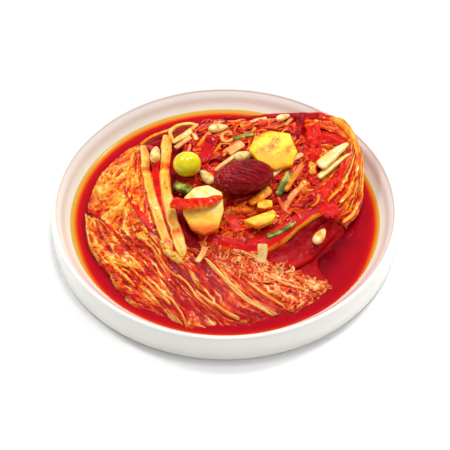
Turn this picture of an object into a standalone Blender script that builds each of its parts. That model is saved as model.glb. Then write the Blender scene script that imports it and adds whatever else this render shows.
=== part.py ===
"""Cabbage kimchi, folded over and standing in its own brine, in a shallow white dish.

The dish is turned about Z and stands on z = 0. The cabbage is one head quarter folded on
itself: a crest of ribs on the left, a fan of leaf tips that sinks into the brine at the
front, and a tall cut heart at the back right. Seasoning and toppings lie between them.
"""

import math

import bmesh
import bpy
from mathutils import Matrix, Vector, noise

MM = 0.001
GAP = 0.3 * MM          # air left between two pieces that touch
SKIN_GAP = 0.7 * MM     # air under a piece that is draped over the cabbage
FLOOR_GAP = 0.45 * MM   # air between the cabbage and the dish

# Dish
DISH_RADIUS = 100 * MM
DISH_HEIGHT = 19.2 * MM
DISH_FLOOR = 4.0 * MM
DISH_SECTORS = 44
LIP_WIDTH = 3.2 * MM
LIP_ROUND = 1.4 * MM
FOOT_ROUND = 2.6 * MM
CORNER = 0.3                    # where the middle of a rounded corner lies, as a share of it
FOOT_RING_RADIUS = 84 * MM
FOOT_RING_DEPTH = 0.9 * MM

# Brine
BRINE_LEVEL = 8.5 * MM
BRINE_RADIUS = 87.7 * MM

# Seasoning
ROUGH_PITCH = 12 * MM
STUFFING_CELLS = 10
STUFFING_THICKNESS = 3.4 * MM
STUFFING_ROUGHNESS = 1.1 * MM

# Cabbage
CABBAGE_CELLS = 26              # across the body each way
WATERLINE_TOP = 9.2 * MM        # height of the leaves where they meet the brine
HEART_WALL = 20 * MM            # how much further the heart's side stands up
HEART_BEARING = math.radians(38)
HEART_SPREAD = math.radians(32)
PLATEAU = 23 * MM
SOFT_SHOULDER = 4.5
SHARP_SHOULDER = 30
OVERHANG = 0.042                # how much the heart's top leans out past its foot, as a share
OVERHANG_BEARING = math.radians(36)
OVERHANG_SPREAD = math.radians(13)

# Toppings
JUJUBE_SIZE = (17.5 * MM, 10.6 * MM, 9.2 * MM)      # half length, half width, half height
JUJUBE_TURN = 14
JUJUBE_WRINKLE = 0.05
GINKGO_SIZE = (8.2 * MM, 7.6 * MM, 7.2 * MM)
PINE_NUT_SIZE = (6.2 * MM, 3.0 * MM, 2.5 * MM)
PINE_NUT_TAPER = 0.3
CHESTNUT_EDGE = 0.8 * MM
LEAF_DEPTH = 3.4 * MM           # height of the leaves that lie over the cabbage
STRIP_LIFT = 4.4 * MM           # height at which cut strips lie over the cabbage
CLIMB_SHARE = 0.22              # share of its length in which a strip climbs onto a topping

# The edge of the cabbage at the brine, anticlockwise from the right, in mm
CABBAGE_EDGE = (
    (79, 8), (80.5, 20), (78, 35), (70, 48), (58, 60), (42, 70), (23, 77), (2, 81), (-22, 79),
    (-42, 71), (-60, 57), (-73, 39), (-81, 16), (-82, -7), (-76, -28), (-68, -44), (-58, -60),
    (-42, -73), (-20, -82), (5, -84.5), (24, -79), (43, -68), (61, -54), (54, -38), (62, -25),
    (72.5, -9),
)

# Rises and hollows of the cabbage: x, y, reach along, reach across, turn in degrees, rise (mm)
MOUNDS = (
    (-47, 8, 27, 42, -8, 8),        # crest of the folded outer leaves
    (67, 51, 35, 31, 0, 17.5),      # heart
    (26, 24, 30, 30, 0, 4.5),       # bed under the toppings
    (-13, 0, 12, 32, 0, -1.5),      # valley beside the ribs
    (0, -84, 95, 42, 0, -13.5),     # front, sinking into the brine
    (60, -42, 26, 26, 0, -6),       # hollow beside the pool
)

# Creases between folds of leaf: points (mm), half width (mm), depth (mm)
CREASES = (
    (((-80, 6), (-72, -6), (-62, -24), (-42, -42), (-28, -46)), 7.0, 4.0),
    (((-66, -44), (-52, -52), (-38, -66)), 6.0, 1.6),
    (((-30, -48), (-18, -60), (2, -74)), 6.0, 1.8),
    (((-14, -38), (6, -44), (26, -45), (44, -30)), 6.5, 3.6),
    (((-4, -50), (14, -60), (34, -68)), 6.0, 1.8),
    (((-66, 42), (-56, 20), (-52, -8)), 7.0, 1.4),
)


def to_metres(points):
    """Plan points in millimetres as vectors in metres."""
    return [Vector((point[0] * MM, point[1] * MM, 0)) for point in points]


def along(points, t, closed=False):
    """The point a share t of the way along a smooth curve through the points."""
    count = len(points)
    spans = count if closed else count - 1
    place = min(max(t, 0), 1) * spans
    first = min(int(place), spans - 1)
    part = place - first

    def near(step):
        index = first + step
        return points[index % count] if closed else points[min(max(index, 0), count - 1)]

    before, start, end, after = near(-1), near(0), near(1), near(2)
    return 0.5 * (
        2 * start
        + (end - before) * part
        + (2 * before - 5 * start + 4 * end - after) * part**2
        + (3 * start - before - 3 * end + after) * part**3
    )


def edge_table(steps=720):
    """Bearing and radius all round the cabbage's edge."""
    points = to_metres(CABBAGE_EDGE)
    curve = [along(points, step / steps, closed=True) for step in range(steps)]
    return sorted((math.atan2(point.y, point.x), point.length) for point in curve)


EDGE_TABLE = edge_table()


def edge_radius(bearing):
    """Radius of the cabbage's edge in one direction."""
    table = EDGE_TABLE
    low, high = 0, len(table)
    while low < high:
        middle = (low + high) // 2
        if table[middle][0] < bearing:
            low = middle + 1
        else:
            high = middle
    after = table[low % len(table)]
    before = table[low - 1]
    span = (after[0] - before[0]) % math.tau
    share = ((bearing - before[0]) % math.tau) / span if span else 0
    return before[1] + (after[1] - before[1]) * share


def turned_from(bearing, centre):
    """Signed angle from centre to bearing."""
    return (bearing - centre + math.pi) % math.tau - math.pi


def top_radius(bearing):
    """Radius of the rim of the cabbage's top, which leans out at the heart's corner."""
    off = turned_from(bearing, OVERHANG_BEARING) / OVERHANG_SPREAD
    return edge_radius(bearing) * (1 + OVERHANG * math.exp(-(off**2)))


def distance_to(path, point):
    """Plan distance from a point to a chain of straight runs."""
    best = 1e9
    for start, end in zip(path, path[1:]):
        run = end - start
        share = min(max((point - start).dot(run) / run.length_squared, 0), 1)
        best = min(best, (start + run * share - point).length)
    return best


def folds(point):
    """How far the creases lower the cabbage at a plan point."""
    drop = 0
    for path, half_width, depth in CREASES:
        reach = distance_to(to_metres(path), point) / (half_width * MM)
        if reach < 3:
            drop += depth * MM * math.exp(-(reach**2))
    return drop


def cabbage_top(x, y):
    """Height of the cabbage's surface over a plan point."""
    bearing = math.atan2(y, x)
    share = min(math.hypot(x, y) / top_radius(bearing), 1)
    off_heart = turned_from(bearing, HEART_BEARING) / HEART_SPREAD
    near_heart = math.exp(-(off_heart**2))
    shoulder = SOFT_SHOULDER + (SHARP_SHOULDER - SOFT_SHOULDER) * near_heart
    height = PLATEAU
    for centre_x, centre_y, reach_x, reach_y, turn, rise in MOUNDS:
        offset = Vector((x - centre_x * MM, y - centre_y * MM))
        offset.rotate(Matrix.Rotation(-math.radians(turn), 2))
        height += rise * MM * math.exp(-((offset.x / reach_x / MM) ** 2) - (offset.y / reach_y / MM) ** 2)
    height -= folds(Vector((x, y, 0)))
    edge = WATERLINE_TOP + HEART_WALL * near_heart
    return edge + (height - edge) * (1 - share**shoulder)


def dish_inside():
    """The inner face of the dish from the lip to the centre, as (radius, height)."""
    lip = DISH_RADIUS - LIP_WIDTH
    return (
        (lip, DISH_HEIGHT - LIP_ROUND),
        (lip - 2.3 * MM, 15.2 * MM),
        (lip - 4.8 * MM, 11.4 * MM),
        (lip - 8.5 * MM, 8.4 * MM),
        (lip - 14.5 * MM, 5.4 * MM),
        (lip - 22.8 * MM, 4.2 * MM),
        (lip - 40 * MM, DISH_FLOOR),
    )


def dish_surface(radius):
    """Height of the dish's inner face at a radius."""
    profile = dish_inside()
    for (outer, high), (inner, low) in zip(profile, profile[1:]):
        if radius >= inner:
            return low + (high - low) * (radius - inner) / (outer - inner)
    return DISH_FLOOR


def material(name, colour, roughness):
    made = bpy.data.materials.new(name)
    made.use_nodes = True
    shader = made.node_tree.nodes["Principled BSDF"]
    shader.inputs["Base Color"].default_value = (*colour, 1)
    shader.inputs["Roughness"].default_value = roughness
    return made


def add_node(name, bm, finish, smooth_below=50):
    """Turns a finished bmesh into one named object with outward faces."""
    bmesh.ops.recalc_face_normals(bm, faces=bm.faces)
    if bm.calc_volume(signed=True) < 0:
        bmesh.ops.reverse_faces(bm, faces=bm.faces)
    mesh = bpy.data.meshes.new(name)
    bm.to_mesh(mesh)
    bm.free()
    mesh.materials.append(finish)
    mesh.shade_smooth()
    mesh.set_sharp_from_angle(angle=math.radians(smooth_below))
    made = bpy.data.objects.new(name, mesh)
    bpy.context.scene.collection.objects.link(made)
    return made


def spun(points, sectors, closed=False):
    """A full turn about Z of a chain of (radius, height) points."""
    bm = bmesh.new()
    verts = [bm.verts.new((radius, 0, height)) for radius, height in points]
    pairs = list(zip(verts, verts[1:]))
    if closed:
        pairs.append((verts[-1], verts[0]))
    edges = [bm.edges.new(pair) for pair in pairs]
    bmesh.ops.spin(
        bm, geom=verts + edges, axis=(0, 0, 1), cent=(0, 0, 0),
        angle=math.tau, steps=sectors, use_merge=True,
    )
    bmesh.ops.remove_doubles(bm, verts=bm.verts, dist=1e-6)
    return bm


def slab(columns, rows, place):
    """A closed sheet: place(u, v, top) gives each point, with u and v from 0 to 1."""
    bm = bmesh.new()
    bmesh.ops.create_grid(bm, x_segments=columns, y_segments=rows, size=0.5)
    lower = list(bm.faces)
    made = bmesh.ops.extrude_face_region(bm, geom=lower, use_keep_orig=True)
    upper = {item for item in made["geom"] if isinstance(item, bmesh.types.BMVert)}
    for vert in bm.verts:
        vert.co = place(vert.co.x + 0.5, vert.co.y + 0.5, vert in upper)
    return bm


def on_disc(u, v):
    """Moves a point of the unit square to the unit disc, as (share of radius, bearing)."""
    x, y = 2 * u - 1, 2 * v - 1
    across = x * math.sqrt(1 - y * y / 2)
    along_y = y * math.sqrt(1 - x * x / 2)
    return math.hypot(across, along_y), math.atan2(along_y, across)


def build_dish(finish):
    lip_middle = DISH_RADIUS - LIP_WIDTH / 2
    outside = (
        (0, FOOT_RING_DEPTH),
        (FOOT_RING_RADIUS, FOOT_RING_DEPTH),
        (FOOT_RING_RADIUS + FOOT_RING_DEPTH, 0),
        (DISH_RADIUS - FOOT_ROUND, 0),
        (DISH_RADIUS - FOOT_ROUND * CORNER, FOOT_ROUND * CORNER),
        (DISH_RADIUS, FOOT_ROUND),
        (DISH_RADIUS, DISH_HEIGHT - LIP_ROUND),
        (DISH_RADIUS - LIP_ROUND * CORNER, DISH_HEIGHT - LIP_ROUND * CORNER),
        (lip_middle, DISH_HEIGHT),
        (DISH_RADIUS - LIP_WIDTH + LIP_ROUND * CORNER, DISH_HEIGHT - LIP_ROUND * CORNER),
    )
    return add_node("dish", spun(outside + dish_inside() + ((0, DISH_FLOOR),), DISH_SECTORS), finish)


def waterline():
    """Corners of the cabbage's edge in plan, anticlockwise from the left."""
    steps = [cell / CABBAGE_CELLS for cell in range(CABBAGE_CELLS)]
    square = [(step, 0) for step in steps] + [(1, step) for step in steps]
    square += [(1 - step, 1) for step in steps] + [(0, 1 - step) for step in steps]
    bearings = sorted(on_disc(u, v)[1] for u, v in square)
    return [Vector((math.cos(angle), math.sin(angle), 0)) * edge_radius(angle) for angle in bearings]


def moved_out(loop, distance):
    """A closed loop of plan points moved outwards, square to itself."""
    moved = []
    for index, point in enumerate(loop):
        before, after = point - loop[index - 1], loop[(index + 1) % len(loop)] - point
        normals = [Vector((run.y, -run.x, 0)).normalized() for run in (before, after)]
        middle = (normals[0] + normals[1]).normalized()
        moved.append(point + middle * distance / middle.dot(normals[0]))
    return moved


def build_brine(finish):
    """A ring of liquid up to the brine's level, cut round the cabbage."""
    inner = moved_out(waterline(), SKIN_GAP)
    sectors = len(inner)
    bm = spun(((1, 0), (2, 0), (3, 0), (3, 1), (1, 1)), sectors, closed=True)
    for vert in bm.verts:
        ring = round(math.hypot(vert.co.x, vert.co.y))
        sector = round(math.atan2(vert.co.y, vert.co.x) / math.tau * sectors) % sectors
        wall = inner[sector].normalized() * BRINE_RADIUS
        point = inner[sector].lerp(wall, (ring - 1) / 2)
        under = dish_surface(point.length) + (GAP if ring == 3 else SKIN_GAP)
        vert.co = (point.x, point.y, BRINE_LEVEL if vert.co.z > 0.5 else under)
    return add_node("brine", bm, finish)


def build_cabbage(finish):
    """The folded leaves as one body, from the dish's floor to their uneven top."""

    def place(u, v, top):
        share, bearing = on_disc(u, v)
        radius = share * (top_radius(bearing) if top else edge_radius(bearing))
        x, y = radius * math.cos(bearing), radius * math.sin(bearing)
        height = cabbage_top(x, y) if top else dish_surface(radius) + FLOOR_GAP
        return x, y, height

    bm = slab(CABBAGE_CELLS, CABBAGE_CELLS, place)
    floor = DISH_FLOOR + FLOOR_GAP
    flat = [face for face in bm.faces if all(abs(vert.co.z - floor) < 1e-6 for vert in face.verts)]
    bmesh.ops.dissolve_faces(bm, faces=flat, use_verts=True)
    return add_node("cabbage", bm, finish)


def pressed(x, y):
    """How deep the toppings press the seasoning in at a plan point."""
    return sum(
        depth * MM * math.exp(-((math.hypot(x - at_x * MM, y - at_y * MM) / reach / MM) ** 2))
        for at_x, at_y, reach, depth in HOLLOWS
    )


def swollen(u, v):
    """0 on the border of a sheet and 1 over its middle."""
    return math.sin(min(1, 4 * min(u, 1 - u, v, 1 - v)) * math.pi / 2)


def leaf_over(path_a, path_b, thickness, edge_thickness, lift, clear):
    """A place function for a leaf between two plan paths, draped over the cabbage."""
    side_a, side_b = to_metres(path_a), to_metres(path_b)

    def place(u, v, top):
        point = along(side_a, u).lerp(along(side_b, u), v)
        swell = swollen(u, v)
        base = cabbage_top(point.x, point.y) + clear + lift * MM * swell
        height = edge_thickness + (thickness - edge_thickness) * swell
        return point.x, point.y, base + height * MM * top

    return place


def heap_over(path_a, path_b):
    """A place function for the uneven heap of seasoning between two plan paths."""
    side_a, side_b = to_metres(path_a), to_metres(path_b)

    def place(u, v, top):
        point = along(side_a, u).lerp(along(side_b, u), v)
        base = cabbage_top(point.x, point.y) + SKIN_GAP
        if not top:
            return point.x, point.y, base
        swell = swollen(u, v)
        height = STUFFING_EDGE + (STUFFING_THICKNESS - STUFFING_EDGE) * swell
        height += STUFFING_ROUGHNESS * swell * noise.noise(point / ROUGH_PITCH)
        return point.x, point.y, base + height - pressed(point.x, point.y) * swell

    return place


def strip_over(spine, widths, thickness):
    """A place function for a strip of rounded section along a plan path over the cabbage."""
    points = to_metres(spine)
    first, last = widths

    def place(u, v, top):
        centre = along(points, u)
        ahead = along(points, min(u + 0.02, 1)) - along(points, max(u - 0.02, 0))
        across = Vector((-ahead.y, ahead.x, 0)).normalized()
        point = centre + across * (v - 0.5) * (first + (last - first) * u) * MM
        base = cabbage_top(point.x, point.y) + SKIN_GAP
        if not top:
            return point.x, point.y, base
        round_off = math.sqrt(max(0, 1 - (2 * v - 1) ** 2)) * min(1, 6 * min(u, 1 - u))
        return point.x, point.y, base + (STRIP_EDGE + (thickness - STRIP_EDGE) * round_off) * MM

    return place


# Height of the side wall of a strip (mm)
STRIP_EDGE = 0.8

# Ribs of leaf that lie over the cabbage: plan path, widths at both ends and thickness (mm)
RIBS = {
    "rib_left": (
        ((-48.6, 45), (-46.6, 30), (-45.5, 16.5), (-43.3, 3), (-39.6, -11), (-35.4, -25), (-32, -34)),
        (4.4, 5.2), 2.6,
    ),
    "rib_right": (
        ((-35, 52), (-34.3, 34), (-34.8, 15), (-33.7, 0), (-30.8, -14), (-27.6, -26), (-25.2, -36)),
        (5.6, 6.2), 3.2,
    ),
    "heart_slab_back": (((54, 17.6), (60, 22.5), (65, 26.6), (69.5, 30.5)), (6.0, 4.2), 3.0),
    "heart_slab_front": (((51.6, 9.8), (58, 14.8), (63.4, 19.2), (70.5, 25.2)), (3.0, 2.4), 2.2),
    "stalk_corner": (((66, 52), (73.5, 42.5), (77, 28.5), (76, 15.5)), (5.0, 3.3), 2.4),
    "stalk_side": (((74, 12), (71, 4), (65.5, -2.5)), (5.0, 3.3), 2.4),
    "stalk_low": (((77, 3), (73.5, -5), (67, -12)), (4.6, 3.0), 2.2),
}
RIB_CELLS = (10, 2)

# Where the seasoning lies: from the back to the front, left side and right side (mm)
STUFFING_LEFT = ((-12, 70), (-24, 50), (-25, 20), (-23, -4), (-14, -16))
STUFFING_RIGHT = ((40, 53), (45, 40), (49, 24), (50, 8), (40, -6))
STUFFING_EDGE = 0.9 * MM

# Hollows that the heavy toppings press into the seasoning: x, y, reach, depth (mm)
JUJUBE_PLACE = (10.6, 3.6)
GINKGO_PLACE = (-21.7, 15.0)
HOLLOWS = (
    (*JUJUBE_PLACE, 15, 2.2),
    (*GINKGO_PLACE, 9, 2.0),
    (27.6, 24, 15, 1.8),        # chestnut at the back
    (-12, -17, 14, 2.0),        # chestnut at the front
)

# Smooth leaves: upper edge, lower edge (mm), thickness, edge, lift and gap below (mm), cells
LEAVES = {
    "red_leaf": (
        ((-16, -20), (4, -25), (24, -20), (44, -11), (59, 1)),
        ((-12, -33), (4, -38), (22, -39), (42, -24), (60, -7)),
        (2.6, 1.2, 0.8, 0.7), (12, 4),
    ),
    "dark_leaf": (
        ((24, -42), (43, -28), (55, -16), (62, -10)),
        ((33, -47), (44, -40), (53, -29), (62, -18)),
        (2.0, 1.0, 0.0, 2.1), (9, 3),
    ),
    "back_leaf": (
        ((-3, 75), (18, 69.5), (40, 62), (56, 54)),
        ((0, 71), (18, 65.5), (38, 57.5), (52, 48.5)),
        (2.2, 1.0, 0.0, 0.7), (10, 2),
    ),
}


def build_leaves(rib, seasoning, leaf):
    for name, (spine, widths, thickness) in RIBS.items():
        add_node(name, slab(*RIB_CELLS, strip_over(spine, widths, thickness)), rib)
    heap = heap_over(STUFFING_LEFT, STUFFING_RIGHT)
    add_node("stuffing", slab(STUFFING_CELLS, STUFFING_CELLS, heap), seasoning)
    for name, (upper, lower, (thickness, edge, lift, clear), cells) in LEAVES.items():
        add_node(name, slab(*cells, leaf_over(upper, lower, thickness, edge, lift, clear * MM)), leaf)


def heap_top(x, y):
    """Height of the seasoning that a topping lies on."""
    return cabbage_top(x, y) + SKIN_GAP + STUFFING_THICKNESS + STUFFING_ROUGHNESS / 2 - pressed(x, y)


def leaf_top(x, y):
    """Height of the bed where only leaves lie over the cabbage."""
    return cabbage_top(x, y) + SKIN_GAP + LEAF_DEPTH


def settled(bm, x, y, ground):
    """Moves a topping over its plan point and down until it just clears the ground."""
    bmesh.ops.translate(bm, verts=bm.verts, vec=(x * MM, y * MM, 0))
    clear = min(vert.co.z - ground(vert.co.x, vert.co.y) for vert in bm.verts)
    bmesh.ops.translate(bm, verts=bm.verts, vec=(0, 0, GAP - clear))
    return bm


def rotated(bm, degrees, axis):
    bmesh.ops.rotate(bm, verts=bm.verts, matrix=Matrix.Rotation(math.radians(degrees), 3, axis))
    return bm


def build_jujube(finish):
    """A dried jujube: a plump long fruit with wrinkles along it."""
    bm = bmesh.new()
    bmesh.ops.create_uvsphere(bm, u_segments=16, v_segments=10, radius=1)
    half_length, half_width, half_height = JUJUBE_SIZE
    for vert in bm.verts:
        around = math.atan2(vert.co.y, vert.co.x)
        waist = math.sqrt(max(0, 1 - vert.co.z**2))
        place = Vector((3 * math.cos(around), 3 * math.sin(around), vert.co.z))
        wrinkle = 1 + JUJUBE_WRINKLE * waist * noise.noise(place)
        width, height = half_width * wrinkle, half_height * wrinkle
        vert.co = Vector((vert.co.z * half_length, vert.co.y * width, vert.co.x * height))
    add_node("jujube", settled(rotated(bm, JUJUBE_TURN, "Z"), *JUJUBE_PLACE, heap_top), finish)


def build_ginkgo(finish):
    bm = bmesh.new()
    bmesh.ops.create_icosphere(bm, subdivisions=3, radius=1)
    bmesh.ops.scale(bm, verts=bm.verts, vec=GINKGO_SIZE)
    add_node("ginkgo_nut", settled(bm, *GINKGO_PLACE, heap_top), finish)


# Chestnut slices and chips: outline, thickness, place (mm) and lean in degrees
CHESTNUTS = {
    "chestnut_back": (
        ((-13.8, 0.5), (-10.5, 9), (-2, 12.6), (9.5, 11), (14, 0), (11, -8.5), (1.5, -12.2), (-7, -8.5)),
        4.2, (27.6, 24), 22,
    ),
    "chestnut_front": (
        ((-11, 7.5), (-5.2, 13.4), (2.3, 14.8), (10.3, 10.4), (11.3, 0), (8, -11.4), (0.6, -14.6),
         (-7, -11), (-11.5, -1.9)),
        4.2, (-12, -16.2), 24,
    ),
    "chestnut_wedge": (
        ((-9.8, -1.4), (-2, -5.4), (6, -1.6), (9, 3), (7, 5.6), (1.2, 3.4), (-6.5, 0.6)),
        4.0, (20.2, -21.2), 18,
    ),
    "chestnut_chip": (
        ((-4.4, -2.2), (0.6, -3.2), (4.4, -0.8), (4.0, 2.8), (-1, 3.4), (-4.2, 1.4)),
        3.0, (22.6, -10.8), 16,
    ),
}


def build_chestnuts(finish):
    for name, (outline, thickness, place, lean) in CHESTNUTS.items():
        bm = bmesh.new()
        rim = [bm.verts.new(point) for point in to_metres(outline)]
        face = bm.faces.new(rim)
        made = bmesh.ops.extrude_face_region(bm, geom=[face], use_keep_orig=True)
        top = [item for item in made["geom"] if isinstance(item, bmesh.types.BMVert)]
        bmesh.ops.translate(bm, verts=top, vec=(0, 0, thickness * MM))
        bmesh.ops.bevel(
            bm, geom=list(bm.edges), offset=CHESTNUT_EDGE, offset_type="OFFSET", segments=2,
            profile=0.5, affect="EDGES", material=-1, clamp_overlap=True,
        )
        add_node(name, settled(rotated(bm, lean, "X"), *place, heap_top), finish, 30)


# Pine nuts: plan place (mm), turn in degrees, size as a share, and what each lies on
PINE_NUTS = {
    "pine_nut_rib": ((-40.2, 24), 86, 1.0, leaf_top),
    "pine_nut_back": ((-4, 50.5), 12, 1.0, heap_top),
    "pine_nut_middle": ((11.2, 24.4), 14, 1.0, heap_top),
    "pine_nut_by_ginkgo": ((-10.5, 10.5), 125, 1.0, heap_top),
    "pine_nut_pool": ((53.5, -26), 62, 1.0, leaf_top),
    "pine_nut_corner": ((34, 51), 25, 0.7, heap_top),
}


def build_pine_nuts(finish):
    for name, (place, turn, size, ground) in PINE_NUTS.items():
        bm = bmesh.new()
        bmesh.ops.create_icosphere(bm, subdivisions=2, radius=size)
        bmesh.ops.scale(bm, verts=bm.verts, vec=PINE_NUT_SIZE)
        for vert in bm.verts:
            slim = 1 - PINE_NUT_TAPER * vert.co.x / PINE_NUT_SIZE[0]
            vert.co.y *= slim
            vert.co.z *= slim
        add_node(name, settled(rotated(bm, turn, "Z"), *place, ground), finish)


# A round of red pepper that lies over the leaves at the heart's foot
PEPPER_ROUND_SIZE = (5.2 * MM, 5.8 * MM, 2.4 * MM)
PEPPER_ROUND_PLACE = (59, -12)


def build_pepper_round(finish):
    bm = bmesh.new()
    bmesh.ops.create_icosphere(bm, subdivisions=2, radius=1)
    bmesh.ops.scale(bm, verts=bm.verts, vec=PEPPER_ROUND_SIZE)
    add_node("pepper_round", settled(bm, *PEPPER_ROUND_PLACE, leaf_top), finish)


# Green onion: plan path, widths at both ends, thickness and climb from the first end (mm)
ONIONS = {
    "onion_by_ginkgo": (((-29, 4.6), (-24, 2.4), (-19.4, -0.4)), (6.4, 5.6), 4.2, 0),
    "onion_back": (((4.5, 40.5), (11.5, 41.5), (17, 43)), (3.6, 3.0), 2.6, 0),
    "onion_middle": (((37, 11.5), (34, 5), (30, -3)), (5.0, 3.8), 2.6, 0),
    "onion_front": (((23.5, -28.2), (31.5, -23.4), (40, -17)), (3.6, 2.6), 2.4, 0),
    "onion_heart": (((57, 21), (60, 24), (63, 28)), (3.0, 2.2), 2.2, 0),
}

# Red chilli: as the green onion
CHILLIES = {
    "chilli_wedge": (((-7, 44), (-9.6, 34), (-13, 22)), (8.5, 7.5), 3.4, 0),
    "chilli_strip": (((-27.4, -13.6), (-20, -17.6), (-10, -16.2), (-1.5, -11.2)), (7.6, 5.0), 3.2, 10.0),
    "chilli_long": (((3.5, -10.6), (10, -11.6), (16.4, -10)), (3.8, 3.2), 2.8, 0),
    "chilli_short": (((1.6, -14.5), (4.4, -19.5), (7, -26)), (7.0, 4.6), 3.0, 0),
    "chilli_back": (((45, 54), (43.5, 45), (42, 35)), (4.4, 3.4), 2.8, 0),
}

# Cut radish: as the green onion
RADISHES = {
    "radish_back": (((1.5, 29), (6, 32.6), (10.6, 36)), (6.0, 5.0), 2.4, 0),
    "radish_right": (((32.3, -10.8), (38.7, -2.2), (45, 5.4)), (3.4, 2.8), 2.2, 0),
    "radish_front": (((20.9, -35), (20.9, -38.5), (19.8, -42.5)), (5.8, 5.0), 2.2, 0),
    "radish_left": (((-11, -34), (-13, -38), (-16, -43)), (3.6, 3.0), 2.2, 0),
}
STRIP_CELLS = (7, 2)


def build_strips(table, finish):
    """Cut pieces of vegetable, each laid along its own path over the bed."""
    for name, (spine, widths, thickness, climb) in table.items():
        bare = strip_over(spine, widths, thickness)

        def place(u, v, top, bare=bare, climb=climb):
            x, y, height = bare(u, v, top)
            done = min(u / CLIMB_SHARE, 1)
            height += STRIP_LIFT + climb * MM * done * done * (3 - 2 * done)
            return x, y, height - pressed(x, y) * (not climb)

        add_node(name, slab(*STRIP_CELLS, place), finish)


def build():
    for old in list(bpy.data.objects):
        bpy.data.objects.remove(old, do_unlink=True)
    rib = material("pale leaf rib", (0.84, 0.62, 0.28), 0.3)
    seasoning = material("seasoning", (0.62, 0.03, 0.02), 0.25)
    leaf = material("red leaf", (0.72, 0.06, 0.02), 0.2)
    chilli = material("red chilli", (0.7, 0.05, 0.02), 0.2)
    build_dish(material("white glaze", (0.93, 0.92, 0.88), 0.12))
    build_brine(material("red brine", (0.55, 0.01, 0.01), 0.05))
    build_cabbage(material("seasoned cabbage", (0.8, 0.25, 0.05), 0.3))
    build_leaves(rib, seasoning, leaf)
    build_jujube(material("jujube skin", (0.16, 0.01, 0.02), 0.25))
    build_ginkgo(material("ginkgo nut", (0.6, 0.6, 0.03), 0.2))
    build_chestnuts(material("cut chestnut", (0.9, 0.66, 0.12), 0.35))
    build_pine_nuts(material("pine nut", (0.9, 0.78, 0.45), 0.35))
    build_pepper_round(chilli)
    build_strips(ONIONS, material("green onion", (0.3, 0.42, 0.08), 0.3))
    build_strips(CHILLIES, chilli)
    build_strips(RADISHES, material("cut radish", (0.86, 0.42, 0.2), 0.3))


build()
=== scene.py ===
"""Cabbage kimchi in a shallow white dish: the finished surfaces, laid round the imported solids.

Lengths in the tables and in the functions that shape things are millimetres. The leaves are
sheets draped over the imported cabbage, each with its own veins and pits. The toppings lie where
their solids lie.
"""

import math
from types import SimpleNamespace

import bmesh
import bpy
import numpy as np
from mathutils import Matrix, Vector
from mathutils.bvhtree import BVHTree


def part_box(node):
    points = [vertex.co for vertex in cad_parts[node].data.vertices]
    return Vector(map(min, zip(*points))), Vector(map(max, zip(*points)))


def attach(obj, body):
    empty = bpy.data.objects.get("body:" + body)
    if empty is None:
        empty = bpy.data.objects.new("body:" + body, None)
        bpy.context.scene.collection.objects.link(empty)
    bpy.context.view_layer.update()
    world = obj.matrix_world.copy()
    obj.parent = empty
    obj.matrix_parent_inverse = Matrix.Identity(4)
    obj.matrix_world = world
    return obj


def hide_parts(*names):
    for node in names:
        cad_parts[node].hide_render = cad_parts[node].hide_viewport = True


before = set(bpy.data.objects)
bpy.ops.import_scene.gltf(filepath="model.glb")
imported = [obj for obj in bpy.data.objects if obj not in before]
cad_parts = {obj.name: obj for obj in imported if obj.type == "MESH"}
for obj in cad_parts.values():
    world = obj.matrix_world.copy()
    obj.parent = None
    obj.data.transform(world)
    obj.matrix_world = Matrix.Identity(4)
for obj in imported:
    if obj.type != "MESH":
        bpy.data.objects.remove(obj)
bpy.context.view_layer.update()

MM = 0.001
BRINE_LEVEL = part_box("brine")[1][2]
DISH_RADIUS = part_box("dish")[1][0]
DISH_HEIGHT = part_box("dish")[1][2]


# ---------------------------------------------------------------- colour and material nodes


PALENESS = "pale"
# How far light spreads inside food: shares for red, green and blue, and their scale
GLOW_REACH = (1.0, 0.35, 0.15)
GLOW_SCALE = 2 * MM


def linear(colour):
    """The linear values a shader takes for a colour of 0 to 255 display values."""
    shares = [value / 255 for value in colour]
    return (*(s / 12.92 if s <= 0.04045 else ((s + 0.055) / 1.055) ** 2.4 for s in shares), 1.0)


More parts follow.
